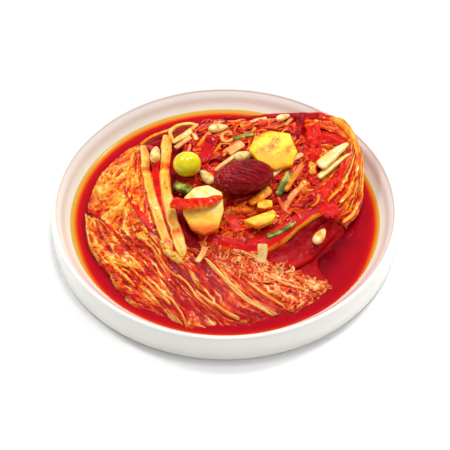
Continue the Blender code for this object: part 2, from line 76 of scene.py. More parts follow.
class Finish:
    """A material under construction: each method adds a node and returns its output.

    Colours are given as 0 to 255 display values.
    """

    def __init__(self, name, roughness, coat=0.0, coat_roughness=0.08, subsurface=0.0, specular=0.5):
        self.material = bpy.data.materials.new(name)
        self.material.use_nodes = True
        self.tree = self.material.node_tree
        self.shader = self.tree.nodes["Principled BSDF"]
        self.set(self.shader, Roughness=roughness, Coat_Weight=coat, Coat_Roughness=coat_roughness)
        self.set(self.shader, Specular_IOR_Level=specular)
        if subsurface:
            self.set(self.shader, Subsurface_Weight=subsurface, Subsurface_Scale=GLOW_SCALE)
            self.shader.inputs["Subsurface Radius"].default_value = GLOW_REACH
        self.place = self.tree.nodes.new("ShaderNodeTexCoord").outputs["Object"]

    def feed(self, socket, value):
        """Gives a socket a link, a number or a colour."""
        if isinstance(value, bpy.types.NodeSocket):
            self.tree.links.new(value, socket)
        else:
            socket.default_value = linear(value) if isinstance(value, tuple) else value

    def set(self, node, **inputs):
        """Feeds a node's inputs by name, with _ for each space."""
        for key, value in inputs.items():
            self.feed(node.inputs[key.replace("_", " ")], value)

    def node(self, kind, **inputs):
        made = self.tree.nodes.new(kind)
        self.set(made, **inputs)
        return made

    def noise(self, size, detail=3.0, distortion=0.0):
        """Cloudy noise from 0 to 1 with features about size millimetres across."""
        look = {"Scale": 1 / (size * MM), "Detail": detail, "Distortion": distortion}
        return self.node("ShaderNodeTexNoise", Vector=self.place, **look).outputs["Fac"]

    def spots(self, size):
        """Distance to scattered points about size millimetres apart, in shares of that size."""
        return self.node("ShaderNodeTexVoronoi", Vector=self.place, Scale=1 / (size * MM)).outputs["Distance"]

    def paleness(self):
        """The paleness painted on the piece's points."""
        made = self.tree.nodes.new("ShaderNodeAttribute")
        made.attribute_name = PALENESS
        return made.outputs["Fac"]

    def band(self, value, low, high):
        """0 at low and 1 at high, smooth between; low may be the greater."""
        made = self.node("ShaderNodeMapRange", Value=value, From_Min=min(low, high), From_Max=max(low, high))
        self.set(made, To_Min=float(high < low), To_Max=float(low < high))
        made.interpolation_type = "SMOOTHSTEP"
        return made.outputs["Result"]

    def centred(self, value):
        """A value from 0 to 1 moved to lie round 0."""
        return self.sum(value, -0.5)

    def sum(self, first, second, operation="ADD"):
        made = self.tree.nodes.new("ShaderNodeMath")
        made.operation = operation
        self.feed(made.inputs[0], first)
        self.feed(made.inputs[1], second)
        return made.outputs["Value"]

    def times(self, first, second):
        return self.sum(first, second, "MULTIPLY")

    def ramp(self, value, *stops):
        """A colour ramp; each stop is (place, colour)."""
        made = self.node("ShaderNodeValToRGB", Fac=value)
        elements = made.color_ramp.elements
        while len(elements) < len(stops):
            elements.new(0.5)
        for element, (place, colour) in zip(elements, stops):
            element.position = place
            element.color = linear(colour)
        return made.outputs["Color"]

    def mix(self, share, first, second):
        made = self.tree.nodes.new("ShaderNodeMix")
        made.data_type = "RGBA"
        self.feed(made.inputs["Factor"], share)
        self.feed(made.inputs[6], first)
        self.feed(made.inputs[7], second)
        return made.outputs[2]

    def bump(self, height, strength, distance, film=0.0):
        """Bumps the surface; a wet film over it follows only swells about film millimetres across."""
        made = self.node("ShaderNodeBump", Height=height, Strength=strength, Distance=distance * MM)
        self.tree.links.new(made.outputs["Normal"], self.shader.inputs["Normal"])
        if film:
            swells = self.noise(film, 1)
            made = self.node("ShaderNodeBump", Height=swells, Strength=1.0, Distance=film * 0.4 * MM)
        self.tree.links.new(made.outputs["Normal"], self.shader.inputs["Coat Normal"])

    def colour(self, value):
        self.set(self.shader, Base_Color=value)

    def along(self, axis):
        """Metres to the right of the dish's middle (X), behind it (Y) or over the table (Z)."""
        return self.node("ShaderNodeSeparateXYZ", Vector=self.place).outputs[axis]

    def radius(self):
        """Distance from the dish's axis, in metres."""
        flat = self.node("ShaderNodeVectorMath", Vector=self.place)
        flat.operation = "MULTIPLY"
        flat.inputs[1].default_value = (1, 1, 0)
        length = self.tree.nodes.new("ShaderNodeVectorMath")
        length.operation = "LENGTH"
        self.tree.links.new(flat.outputs["Vector"], length.inputs[0])
        return length.outputs["Value"]


CREAM = (250, 228, 160)
STRAW = (246, 202, 96)
AMBER = (244, 160, 30)
ORANGE = (236, 98, 14)
VERMILION = (224, 46, 10)
RED = (208, 14, 18)
CRIMSON = (164, 8, 18)
MAROON = (104, 4, 14)
SALMON = (236, 128, 84)
BRINE_RED = (178, 8, 20)
SPECK_RED = (132, 12, 8)


def glaze_finish():
    made = Finish("white glaze", roughness=0.12, coat=0.4, coat_roughness=0.04)
    white = made.mix(made.noise(22, 2), (238, 235, 226), (246, 244, 238))
    # Painted shade: inside the lip the white glaze is darkened towards beige, most low down where it meets
    # the brine
    inside = made.band(made.radius(), DISH_RADIUS - 2.5 * MM, DISH_RADIUS - 5 * MM)
    low = made.band(made.along("Z"), DISH_HEIGHT, BRINE_LEVEL)
    made.colour(made.mix(made.times(inside, made.times(low, 0.45)), white, (222, 208, 180)))
    made.bump(made.noise(6, 2), strength=0.04, distance=0.2)
    return made.material


def brine_finish():
    """Clear red brine: orange and then yellow where it thins at the wall, and darker inwards towards the
    heap, which is painted shade.
    """
    made = Finish("red brine", roughness=0.06, specular=0.25)
    cloudy = made.times(made.centred(made.noise(22, 3, 0.4)), 0.6)
    # Painted shade: the deep colour darkens inwards towards the heap
    deep = made.ramp(
        made.sum(made.band(made.radius(), 60 * MM, 84 * MM), cloudy),
        (0.1, (104, 3, 14)), (0.5, (138, 4, 22)), (0.9, (168, 6, 25)),
    )
    # The pale ring at the wall is drawn narrower at the front, the right and the left
    front, right, left = (
        made.times(made.band(made.along(axis), near * MM, far * MM), shift * MM)
        for axis, near, far, shift in (("Y", -20, -70, -3.2), ("X", 10, 70, -1.2), ("X", -10, -70, -0.2))
    )
    outward = made.sum(made.radius(), made.sum(front, made.sum(right, left)))
    shallow = made.ramp(
        made.band(outward, BRINE_EDGE - 7 * MM, BRINE_EDGE - 0.2 * MM),
        (0.0, (176, 7, 25)), (0.4, (192, 20, 18)), (0.64, (214, 76, 12)),
        (0.84, (218, 128, 22)), (1.0, (202, 164, 78)),
    )
    made.colour(made.mix(made.band(outward, BRINE_EDGE - 9 * MM, BRINE_EDGE - 5 * MM), deep, shallow))
    made.bump(made.noise(9, 2), strength=0.12, distance=0.25)
    return made.material


def leaf_finish(name, stops, grain, mottle=0.3, specks=0.2, soak=0.0, wet=0.7, film=4.0):
    """Wet leaf or sauce: its painted paleness picks the colour, and the low parts are stained.

    grain and film are sizes of its mottling and of the wet film's swells, in millimetres.
    """
    made = Finish(name, roughness=0.4, coat=wet, coat_roughness=0.04, subsurface=0.06, specular=0.08)
    grainy = made.noise(grain, 5)
    value = made.sum(made.paleness(), made.times(made.centred(grainy), mottle * 2))
    colour = made.ramp(value, *stops)
    dotted = made.times(made.band(made.spots(3.4), 0.24, 0.12), made.band(made.noise(11), 0.46, 0.56))
    colour = made.mix(made.times(dotted, specks), colour, SPECK_RED)
    stained = made.times(made.band(made.along("Z"), BRINE_LEVEL + 7 * MM, BRINE_LEVEL), soak)
    made.colour(made.mix(stained, colour, BRINE_RED))
    rough = made.sum(grainy, made.times(made.noise(0.5, 2), 0.4))
    made.bump(rough, strength=0.45, distance=0.35, film=film)
    drops = made.band(made.noise(4.5, 2), 0.5, 0.6)
    # The wet film is thicker in patches
    made.set(made.shader, Coat_Weight=made.sum(made.times(drops, 1.2 * wet), 0.45 * wet))
    return made.material


LEAF_STOPS = (
    (0.0, (156, 6, 8)), (0.18, (208, 22, 6)), (0.34, (226, 70, 8)), (0.5, (234, 122, 16)),
    (0.66, (240, 166, 46)), (0.83, (242, 198, 92)), (1.0, (248, 226, 152)),
)
FAN_STOPS = (
    (0.0, (132, 6, 6)), (0.2, (176, 14, 8)), (0.38, (206, 42, 10)), (0.54, (222, 88, 20)),
    (0.7, (234, 140, 48)), (0.85, (242, 188, 92)), (1.0, (250, 224, 150)),
)
CORE_STOPS = (
    (0.0, (96, 3, 14)), (0.3, (146, 6, 22)), (0.55, (186, 24, 20)), (0.8, (222, 96, 30)),
    (1.0, (240, 170, 90)),
)
FRILL_STOPS = (
    (0.0, (120, 4, 10)), (0.2, (182, 12, 14)), (0.4, (216, 52, 18)), (0.6, (232, 104, 42)),
    (0.8, (240, 158, 82)), (1.0, (250, 216, 142)),
)
STUFF_STOPS = (
    (0.0, MAROON), (0.22, CRIMSON), (0.45, RED), (0.62, VERMILION), (0.78, ORANGE), (0.9, SALMON),
    (1.0, STRAW),
)
ROOT_STOPS = (
    (0.0, RED), (0.35, (226, 80, 34)), (0.6, (238, 132, 70)), (0.8, (246, 182, 106)), (1.0, CREAM),
)
RIB_STOPS = (
    (0.0, RED), (0.18, ORANGE), (0.38, (234, 146, 34)), (0.58, (236, 186, 76)),
    (0.82, (238, 214, 134)), (1.0, (250, 236, 190)),
)
SAUCE_STOPS = (
    (0.0, MAROON), (0.25, CRIMSON), (0.5, (206, 10, 12)), (0.75, (228, 26, 12)), (1.0, VERMILION),
)
SMOOTH_STOPS = (
    (0.0, MAROON), (0.25, CRIMSON), (0.5, RED), (0.68, VERMILION), (0.85, ORANGE), (1.0, AMBER),
)


# ---------------------------------------------------------------- noise, paths and the ground


def hashed(i, j, seed):
    """A fixed number from 0 to 1 for each cell of a lattice."""
    value = np.sin(i * 127.1 + j * 311.7 + seed * 74.7) * 43758.5453
    return value - np.floor(value)


def soft_noise(x, y, size=1.0, seed=0):
    """Smooth noise from -1 to 1 with features about size across."""
    across, up = x / size, y / size
    i, j = np.floor(across), np.floor(up)
    s, t = across - i, up - j
    s, t = s * s * (3 - 2 * s), t * t * (3 - 2 * t)
    low = hashed(i, j, seed) * (1 - s) + hashed(i + 1, j, seed) * s
    high = hashed(i, j + 1, seed) * (1 - s) + hashed(i + 1, j + 1, seed) * s
    return 2 * (low * (1 - t) + high * t) - 1


def rough_noise(x, y, size=1.0, seed=0):
    """Three scales of soft noise added up, about -1 to 1."""
    total, weight = 0, 0
    for octave in range(3):
        share = 0.55**octave
        total = total + share * soft_noise(x, y, size / 2**octave, seed + 17 * octave)
        weight += share
    return total / weight


def cell_walls(x, y, seed=0):
    """How near a point is to a wall between scattered unit cells: 1 on a wall, 0 in the middle."""
    i, j = np.floor(x), np.floor(y)
    first = second = np.full(np.shape(x), 9.0)
    for di in (-1, 0, 1):
        for dj in (-1, 0, 1):
            at_x = i + di + 0.12 + 0.76 * hashed(i + di, j + dj, seed)
            at_y = j + dj + 0.12 + 0.76 * hashed(i + di, j + dj, seed + 5)
            reach = np.hypot(x - at_x, y - at_y)
            second = np.minimum(second, np.maximum(first, reach))
            first = np.minimum(first, reach)
    return 1 - ease(second - first, 0.02, 0.42)


def ease(value, low, high):
    """0 at low, 1 at high, smooth between; low may be above high."""
    share = np.clip((value - low) / (high - low), 0, 1)
    return share * share * (3 - 2 * share)


def through(known, t):
    """Where a smooth curve through the known points is at shares t of its length.

    The points are one list for all, or for each share a list of its own along the second axis.
    """
    known = np.asarray(known, float)
    place = np.clip(np.asarray(t, float), 0, 1) * (len(known) - 1)
    first = np.minimum(place.astype(int), len(known) - 2)
    part = (place - first)[..., None]

    def near(step):
        index = np.clip(first + step, 0, len(known) - 1)
        return known[index] if known.ndim == 2 else known[index, np.arange(len(index))]

    before, start, end, after = near(-1), near(0), near(1), near(2)
    return 0.5 * (
        2 * start
        + (end - before) * part
        + (2 * before - 5 * start + 4 * end - after) * part**2
        + (3 * start - before - 3 * end + after) * part**3
    )


def turned(x, y, degrees):
    angle = math.radians(degrees)
    return x * math.cos(angle) - y * math.sin(angle), x * math.sin(angle) + y * math.cos(angle)


def length_of(path):
    steps = np.diff(np.asarray(path, float), axis=0)
    return float(np.hypot(steps[:, 0], steps[:, 1]).sum())


class Ground:
    """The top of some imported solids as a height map, smoothed between their facets."""

    REACH = 92
    STEP = 1.0
    RINGS = 14
    ABOVE = 0.2

    def __init__(self, nodes, blur):
        line = np.arange(-self.REACH, self.REACH + self.STEP, self.STEP)
        heights = np.full((len(line), len(line)), np.nan)
        for node in nodes:
            bm = bmesh.new()
            bm.from_mesh(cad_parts[node].data)
            tree = BVHTree.FromBMesh(bm)
            bm.free()
            for row, y in enumerate(line):
                for column, x in enumerate(line):
                    hit = tree.ray_cast(Vector((x * MM, y * MM, self.ABOVE)), Vector((0, 0, -1)))[0]
                    if hit:
                        heights[row, column] = np.fmax(heights[row, column], hit.z / MM)
        for _ in range(self.RINGS):
            heights = self.grown(heights)
        heights[np.isnan(heights)] = BRINE_LEVEL / MM
        for _ in range(blur):
            heights = self.blurred(heights)
        self.heights = heights

    @staticmethod
    def grown(heights):
        """Fills one more ring of empty cells round the known ones."""
        shifts = np.stack([np.roll(heights, step, axis) for axis in (0, 1) for step in (-1, 1)])
        known = np.isfinite(shifts)
        count = known.sum(axis=0)
        mean = np.where(known, shifts, 0).sum(axis=0) / np.maximum(count, 1)
        return np.where(np.isnan(heights), np.where(count > 0, mean, np.nan), heights)

    @staticmethod
    def blurred(heights):
        for axis in (0, 1):
            heights = 0.5 * heights + 0.25 * (np.roll(heights, 1, axis) + np.roll(heights, -1, axis))
        return heights

    def __call__(self, x, y):
        last = len(self.heights) - 1.001
        across, up = (np.clip((np.asarray(at) + self.REACH) / self.STEP, 0, last) for at in (x, y))
        i, j = across.astype(int), up.astype(int)
        s, t = across - i, up - j
        low = self.heights[j, i] * (1 - s) + self.heights[j, i + 1] * s
        high = self.heights[j + 1, i] * (1 - s) + self.heights[j + 1, i + 1] * s
        return low * (1 - t) + high * t


ground = Ground(["cabbage"], blur=5)
bed = Ground(["cabbage", "stuffing"], blur=3)


# ---------------------------------------------------------------- making and finishing pieces


def linked(thing):
    """Puts an object into the scene."""
    bpy.context.scene.collection.objects.link(thing)
    return thing


def finished(name, mesh, finish, replaces=()):
    """Links a mesh as one piece of the part and gives it its finish."""
    piece = linked(bpy.data.objects.new(name, mesh))
    mesh.materials.append(finish)
    mesh.shade_smooth()
    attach(piece, "root")
    for node in replaces:
        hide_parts(node)
    return piece


def mesh_of(name, bm):
    mesh = bpy.data.meshes.new(name)
    bm.to_mesh(mesh)
    bm.free()
    return mesh


def solid_mesh(name, bm):
    """Turns a closed bmesh into a mesh whose faces point outwards."""
    bmesh.ops.recalc_face_normals(bm, faces=bm.faces)
    if bm.calc_volume(signed=True) < 0:
        bmesh.ops.reverse_faces(bm, faces=bm.faces)
    return mesh_of(name, bm)


def points_of(mesh):
    """A mesh's points as three arrays, in millimetres."""
    flat = np.empty(len(mesh.vertices) * 3)
    mesh.vertices.foreach_get("co", flat)
    return flat.reshape(-1, 3).T / MM


def place_points(mesh, x, y, z):
    mesh.vertices.foreach_set("co", (np.stack([x, y, z], axis=1) * MM).ravel())
    mesh.update()


def paint(mesh, values):
    """Stores a paleness from 0 to 1 on each point, for the finish to read."""
    layer = mesh.attributes.new(PALENESS, "FLOAT", "POINT")
    layer.data.foreach_set("value", np.clip(values, 0, 1).astype(np.float32))


def grid_mesh(name, columns, rows):
    """A flat unit square of points, with the shares u and v of each."""
    bm = bmesh.new()
    bmesh.ops.create_grid(bm, x_segments=columns, y_segments=rows, size=0.5)
    mesh = mesh_of(name, bm)
    x, y, _ = points_of(mesh)
    return mesh, np.clip(x * MM + 0.5, 0, 1), np.clip(y * MM + 0.5, 0, 1)


LEAF_STEP = 0.45
LEAF_THICKNESS = 0.5


def thicken(piece):
    """Gives a sheet the thickness of a leaf, below its surface."""
    wall = piece.modifiers.new("thickness", "SOLIDIFY")
    wall.thickness = LEAF_THICKNESS * MM
    wall.offset = -1


def leaf(name, guides, relief, finish, slot="cabbage", ragged=0.8, seed=0, over=ground, replaces=()):
    """A leaf laid over the ground, lofted across guide curves that all run the same way.

    relief takes the leaf's places and returns the height over the ground and the paleness.
    ragged is how far the leaf's borders wander.
    """
    long = max(length_of(guide) for guide in guides)
    middles = [through(guide, np.array([0.5]))[0] for guide in guides]
    wide = length_of(middles)
    mesh, u, v = grid_mesh(name, int(long / LEAF_STEP), int(wide / LEAF_STEP))
    wander_u = ragged / long * rough_noise(v * wide, u * 0, 5, seed + 3)
    wander_v = ragged / wide * rough_noise(u * long, v * 0, 6, seed + 7)
    u_drawn = np.clip(u + wander_u * (1 - 2 * u), 0, 1)
    v_drawn = np.clip(v + wander_v * (1 - 2 * v), 0, 1)
    rows = np.stack([through(guide, u_drawn) for guide in guides])
    spot = through(rows, v_drawn)
    at = SimpleNamespace(
        v=v, along=u * long, across=v * wide, x=spot[:, 0], y=spot[:, 1], seed=seed,
        start=u * long, finish=(1 - u) * long, low=v * wide, high=(1 - v) * wide,
    )
    height, pale = relief(at)
    place_points(mesh, at.x, at.y, over(at.x, at.y) + height)
    paint(mesh, pale)
    if sum(face.normal.z * face.area for face in mesh.polygons) < 0:
        mesh.flip_normals()
    thicken(finished(name, mesh, finish, replaces))


def both_ends(value):
    """A value for each end of a strip, from one for both or from a pair."""
    return value if isinstance(value, tuple) else (value, value)


def stick_points(path, width, thickness, u, angle, lift, over, blunt=0.06, twist=0.0, wobble=0.0):
    """Points round a flat strip that follows the ground, its ends rounded off and its sides uneven."""
    spot = through(path, u)
    ahead, behind = through(path, np.clip(u + 0.01, 0, 1)), through(path, np.clip(u - 0.01, 0, 1))
    run = ahead - behind
    run = run / np.maximum(np.hypot(run[:, 0], run[:, 1]), 1e-6)[:, None]
    near, far = both_ends(blunt)
    taper = np.sqrt(np.clip(1 - ((1 - np.clip(u, 0, near) / near) ** 2), 0, 1))
    taper = taper * np.sqrt(np.clip(1 - ((1 - np.clip(1 - u, 0, far) / far) ** 2), 0, 1))
    lean = twist * (u - 0.5)
    first, last = both_ends(width)
    uneven = 1 + wobble * rough_noise(u * length_of(path), np.sign(np.cos(angle)) * 9 + path[0][0], 6, 4)
    # Powers under 1 give the section fuller shoulders than an ellipse has
    side = (first + (last - first) * u) / 2 * taper * uneven * np.sign(np.cos(angle))
    side = side * np.abs(np.cos(angle)) ** 0.6
    rise = thickness / 2 * taper * np.sign(np.sin(angle)) * np.abs(np.sin(angle)) ** 0.5
    flat = side * np.cos(lean) - rise * np.sin(lean)
    tall = side * np.sin(lean) + rise * np.cos(lean)
    x = spot[:, 0] - run[:, 1] * flat
    y = spot[:, 1] + run[:, 0] * flat
    z = over(spot[:, 0], spot[:, 1]) + lift + thickness / 2 + tall
    return x, y, z


def strip_mesh(path, width, thickness, relief, lift, over=bed, fine=0.5, **shape):
    """One closed flattened tube along a path on the ground, with its ends rounded."""
    long = length_of(path)
    around = max(6, int((np.max(width) + thickness) * 1.6 / fine))
    mesh, u, v = grid_mesh("strip", max(8, int(long / fine)), around)
    angle = v * math.tau
    x, y, z = stick_points(path, width, thickness, u, angle, lift, over, **shape)
    at = SimpleNamespace(along=u * long, x=x, y=y, side=np.cos(angle))
    grow, pale = relief(at)
    inside = (u > 0.001) & (u < 0.999)
    place_points(mesh, x, y, z + np.where(inside, grow * np.abs(np.sin(angle)), 0))
    paint(mesh, pale)
    return mesh


def strips(name, shapes, finish, slot, replaces=(), **options):
    """Strips joined into one piece; each shape is (path, width, thickness, relief, lift)."""
    bm = bmesh.new()
    for path, width, thickness, relief, lift in shapes:
        mesh = strip_mesh(path, width, thickness, relief, lift, **options)
        bm.from_mesh(mesh)
        bpy.data.meshes.remove(mesh)
    bmesh.ops.remove_doubles(bm, verts=bm.verts, dist=0.01 * MM)
    finished(name, solid_mesh(name, bm), finish, replaces)


def sticks(table, ending, finish, slot, relief, lift, **options):
    """A piece over each node of a table of strips; relief may be a table of the nodes' own."""
    for node, (path, width, thickness) in table.items():
        own = relief[node] if isinstance(relief, dict) else relief
        strips(node + ending, [(path, width, thickness, own, lift)], finish, slot, [node], **options)


# ---------------------------------------------------------------- dish, brine and core


def spun(points, sectors):
    """A full turn about Z of a chain of (radius, height) points, in metres."""
    bm = bmesh.new()
    verts = [bm.verts.new((radius, 0, height)) for radius, height in points]
    edges = [bm.edges.new(pair) for pair in zip(verts, verts[1:])]
    bmesh.ops.spin(
        bm, geom=verts + edges, axis=(0, 0, 1), cent=(0, 0, 0), angle=math.tau, steps=sectors, use_merge=True
    )
    bmesh.ops.remove_doubles(bm, verts=bm.verts, dist=1e-6)
    return bm


def quarter(centre, radius, start):
    """Points of a quarter arc anticlockwise from the start angle, in degrees."""
    angles = np.radians(np.linspace(start, start + 90, 5))
    return [(centre[0] + radius * math.cos(a), centre[1] + radius * math.sin(a)) for a in angles]


# The inner face of the dish below its lip, as (distance in from the outer wall, height)
INNER_FACE = ((3.2, 17.9), (5.5, 15.2), (8.0, 11.4), (11.7, 8.4), (17.7, 5.4), (26.0, 4.2), (43.2, 4.0))
DISH_FLOOR = 4.0 * MM
FOOT_RING_RADIUS = 84 * MM
FOOT_RING_DEPTH = 0.9 * MM
FOOT_ROUND = 2.6 * MM
LIP_OUTER_ROUND = 1.5 * MM
LIP_INNER_ROUND = 1.3 * MM
LIP_WIDTH = 3.2 * MM
DISH_SECTORS = 144


def build_dish():
    """The white dish, turned from its foot ring over the rolled lip and down to its floor."""
    foot = quarter((DISH_RADIUS - FOOT_ROUND, FOOT_ROUND), FOOT_ROUND, -90)
    lip_low = DISH_HEIGHT - LIP_OUTER_ROUND
    lip_out = quarter((DISH_RADIUS - LIP_OUTER_ROUND, lip_low), LIP_OUTER_ROUND, 0)
    lip_middle = DISH_RADIUS - LIP_WIDTH + LIP_INNER_ROUND
    lip_in = quarter((lip_middle, DISH_HEIGHT - LIP_INNER_ROUND), LIP_INNER_ROUND, 90)
    known = [(DISH_RADIUS / MM - inset, height) for inset, height in INNER_FACE]
    face = through(known, np.linspace(0, 1, 40))
    inside = [(radius * MM, height * MM) for radius, height in face[1:]]
    under = [(0, FOOT_RING_DEPTH), (FOOT_RING_RADIUS, FOOT_RING_DEPTH)]
    under.append((FOOT_RING_RADIUS + FOOT_RING_DEPTH, 0))
    points = under + foot + lip_out + lip_in + inside + [(0, DISH_FLOOR)]
    mesh = solid_mesh("dish_shell", spun(points, DISH_SECTORS))
    finished("dish_shell", mesh, glaze_finish(), ["dish"])
    mesh.set_sharp_from_angle(angle=math.radians(55))


BRINE_EDGE = DISH_RADIUS - 11.2 * MM
BRINE_UNDER = DISH_FLOOR + 0.3 * MM
# How high the brine climbs where it meets the dish, and from how far in
MENISCUS = 0.7 * MM
MENISCUS_REACH = 4 * MM
BRINE_UNDER_RADIUS = 70 * MM
BRINE_RINGS = (80, 72, 60, 40, 20, 0)
BRINE_SECTORS = 160


def build_brine():
    """The liquid: a flat red surface that climbs a little where it meets the dish."""
    wall = BRINE_EDGE + 1.2 * MM
    points = [(0, BRINE_UNDER), (BRINE_UNDER_RADIUS, BRINE_UNDER)]
    points += [(wall, BRINE_LEVEL - 0.6 * MM), (wall, BRINE_LEVEL + MENISCUS)]
    for share in np.linspace(1, 0, 9):
        points.append((BRINE_EDGE - MENISCUS_REACH * (1 - share), BRINE_LEVEL + MENISCUS * share**3))
    points += [(radius * MM, BRINE_LEVEL) for radius in BRINE_RINGS]
    mesh = solid_mesh("brine_pool", spun(points, BRINE_SECTORS))
    finished("brine_pool", mesh, brine_finish(), ["brine"])


# The core under the leaves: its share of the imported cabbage's spread and how much lower it is
CORE_SHARE = 0.975
CORE_DROP = 1.3
CORE_VOXEL = 0.9 * MM
CORE_SMOOTHINGS = 6


def build_core(finish):
    """The soaked body under the leaves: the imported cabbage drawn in, with folds over its sides."""
    bm = bmesh.new()
    bm.from_mesh(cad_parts["cabbage"].data)
    bmesh.ops.remove_doubles(bm, verts=bm.verts, dist=0.01 * MM)
    for vert in bm.verts:
        vert.co.x *= CORE_SHARE
        vert.co.y *= CORE_SHARE
        vert.co.z = max(vert.co.z - CORE_DROP * MM, DISH_FLOOR + MM)
    rough = finished("rough_core", solid_mesh("rough_core", bm), finish)
    remesh = rough.modifiers.new("even", "REMESH")
    remesh.mode = "VOXEL"
    remesh.voxel_size = CORE_VOXEL
    even = bpy.data.meshes.new_from_object(rough.evaluated_get(bpy.context.evaluated_depsgraph_get()))
    bpy.data.objects.remove(rough, do_unlink=True)
    bm = bmesh.new()
    bm.from_mesh(even)
    every_way = {"use_axis_x": True, "use_axis_y": True, "use_axis_z": True}
    for _ in range(CORE_SMOOTHINGS):
        bmesh.ops.smooth_vert(bm, verts=bm.verts, factor=0.5, **every_way)
    mesh = solid_mesh("soaked_core", bm)
    x, y, z = points_of(mesh)
    normals = np.array([tuple(vert.normal) for vert in mesh.vertices])
    bearing = np.arctan2(y, x)
    layers = soft_noise(z + 2.5 * rough_noise(bearing * 60, z, 18, 4), bearing * 9, 2.4, 8)
    folds = rough_noise(x * 0.8 + y, (y - x) * 0.35 + z, 3.2, 6)
    swell = (0.8 * layers + 0.5 * folds) * ease(z, BRINE_LEVEL / MM - 1, BRINE_LEVEL / MM + 3)
    place_points(mesh, x + normals[:, 0] * swell, y + normals[:, 1] * swell, z + normals[:, 2] * swell)
    steep = 1 - np.abs(normals[:, 2])
    heartwards = ease(x + y, 10, 60)
    paint(mesh, 0.34 + 0.16 * folds + steep * (0.1 + heartwards * (0.36 + 0.5 * layers)))
    finished("soaked_core", mesh, finish, ["cabbage"])


# ---------------------------------------------------------------- reliefs of the leaves


def veins(at, spacing, width, seed, keep=0.3):
    """Long ridges that run along a leaf: 1 on a strong crest, 0 between them."""
    place = at.across / spacing + 0.45 * rough_noise(at.along, at.across, 15, seed)
    line = np.floor(place)
    off = np.abs(place - line - 0.5) * spacing
    strong = keep + (1 - keep) * hashed(line, line * 0, seed + 2)
    fade = 0.6 + 0.4 * soft_noise(at.along, line * 40, 13, seed + 4)
    return (1 - ease(off, 0.1, width)) * strong * fade


def fibres(across, along, spacing, stretch, seed):
    """Fine lines along a leaf that split and join: 1 on a line, 0 between them."""
    warp = 0.5 * spacing * rough_noise(along, across, spacing * 5, seed)
    waves = soft_noise((across + warp) / spacing, along / (spacing * stretch), 1.0, seed)
    return np.clip(1 - 1.6 * np.abs(waves), 0, 1) ** 1.5


def patches(spots, x, y):
    """Adds up soft patches: place, reach each way and amount."""
    total = 0
    for at_x, at_y, reach_x, reach_y, amount in spots:
        total = total + amount * np.exp(-(((x - at_x) / reach_x) ** 2) - ((y - at_y) / reach_y) ** 2)
    return total


VEIN_STEPS = 5


def distance_to(path, x, y):
    """Distance from plan points to a smooth path, and the share of the path nearest to them."""
    spots = through(path, np.linspace(0, 1, VEIN_STEPS * len(path)))
    best = np.full(len(x), 1e9)
    share = np.zeros(len(x))
    for index, (start, end) in enumerate(zip(spots, spots[1:])):
        run = end - start
        part = np.clip(((x - start[0]) * run[0] + (y - start[1]) * run[1]) / (run @ run), 0, 1)
        reach = np.hypot(x - start[0] - part * run[0], y - start[1] - part * run[1])
        share = np.where(reach < best, (index + part) / (len(spots) - 1), share)
        best = np.minimum(best, reach)
    return best, share


def tuck(distance, depth, reach):
    """How far a border bends down within its reach of the edge."""
    return -depth * (1 - ease(distance, 0, reach))


def tucked(at, **borders):
    """How far a leaf's borders bend down: the depth and the reach for each border named."""
    return sum(tuck(getattr(at, border), depth, reach) for border, (depth, reach) in borders.items())


def levelled(pattern):
    """A pattern shifted and scaled to a mean of 0 and a spread of 1."""
    return (pattern - pattern.mean()) / pattern.std()


def savoy(at):
    """Blistered outer leaf: fine pale lines over amber swells, orange blisters and red pits."""
    slant = 0.6
    across, along = at.across + slant * at.along, at.along
    coarse = fibres(across, along, 3.4, 2.2, at.seed)
    cross = fibres(along - slant * across, across, 4.6, 1.6, at.seed + 6)
    fine = fibres(across, along, 1.5, 2.6, at.seed + 1)
    warped = at.across + 1.5 * soft_noise(at.x, at.y, 5, 1)
    cells = cell_walls(warped / 3.4, at.along / 4.6, at.seed)
    swell = rough_noise(at.x, at.y, 12, at.seed + 2)
    pits = ease(rough_noise(across * 1.3, along * 0.7, 3.6, at.seed + 3), 0.1, 0.55)
    net = np.maximum(coarse, 0.7 * cross)
    height = 0.6 * net + 0.3 * fine + 0.35 * cells + 0.9 * swell - 0.7 * pits
    height += tucked(at, low=(2.0, 1.6), high=(0.3, 2.0), finish=(0.9, 3.0))
    pattern = 0.5 * net + 0.3 * fine + 0.15 * cells + 0.5 * swell - 1.0 * pits * (1 - 0.6 * net)
    return height + 0.6, 0.49 + 0.19 * levelled(pattern) + 0.3 * (1 - ease(at.low, 0.6, 2.0))


# Patches of the fan that are paler or more deeply stained: place, reach each way, amount
FAN_TONES = (
    (-72, -18, 8, 14, 0.16), (-55, -30, 13, 9, 0.12), (-70, -38, 4, 7, -0.16), (-46, -50, 11, 6, -0.26),
    (-13, -42, 9, 10, -0.3), (-37, -78, 9, 3.5, 0.3), (-24, -60, 16, 12, -0.04), (40, -52, 16, 8, 0.04),
    (56, -52, 6, 7, 0.14), (-35, -36, 7, 5, 0.14), (20, -76, 30, 6, -0.1), (-60, -52, 8, 10, -0.1),
)
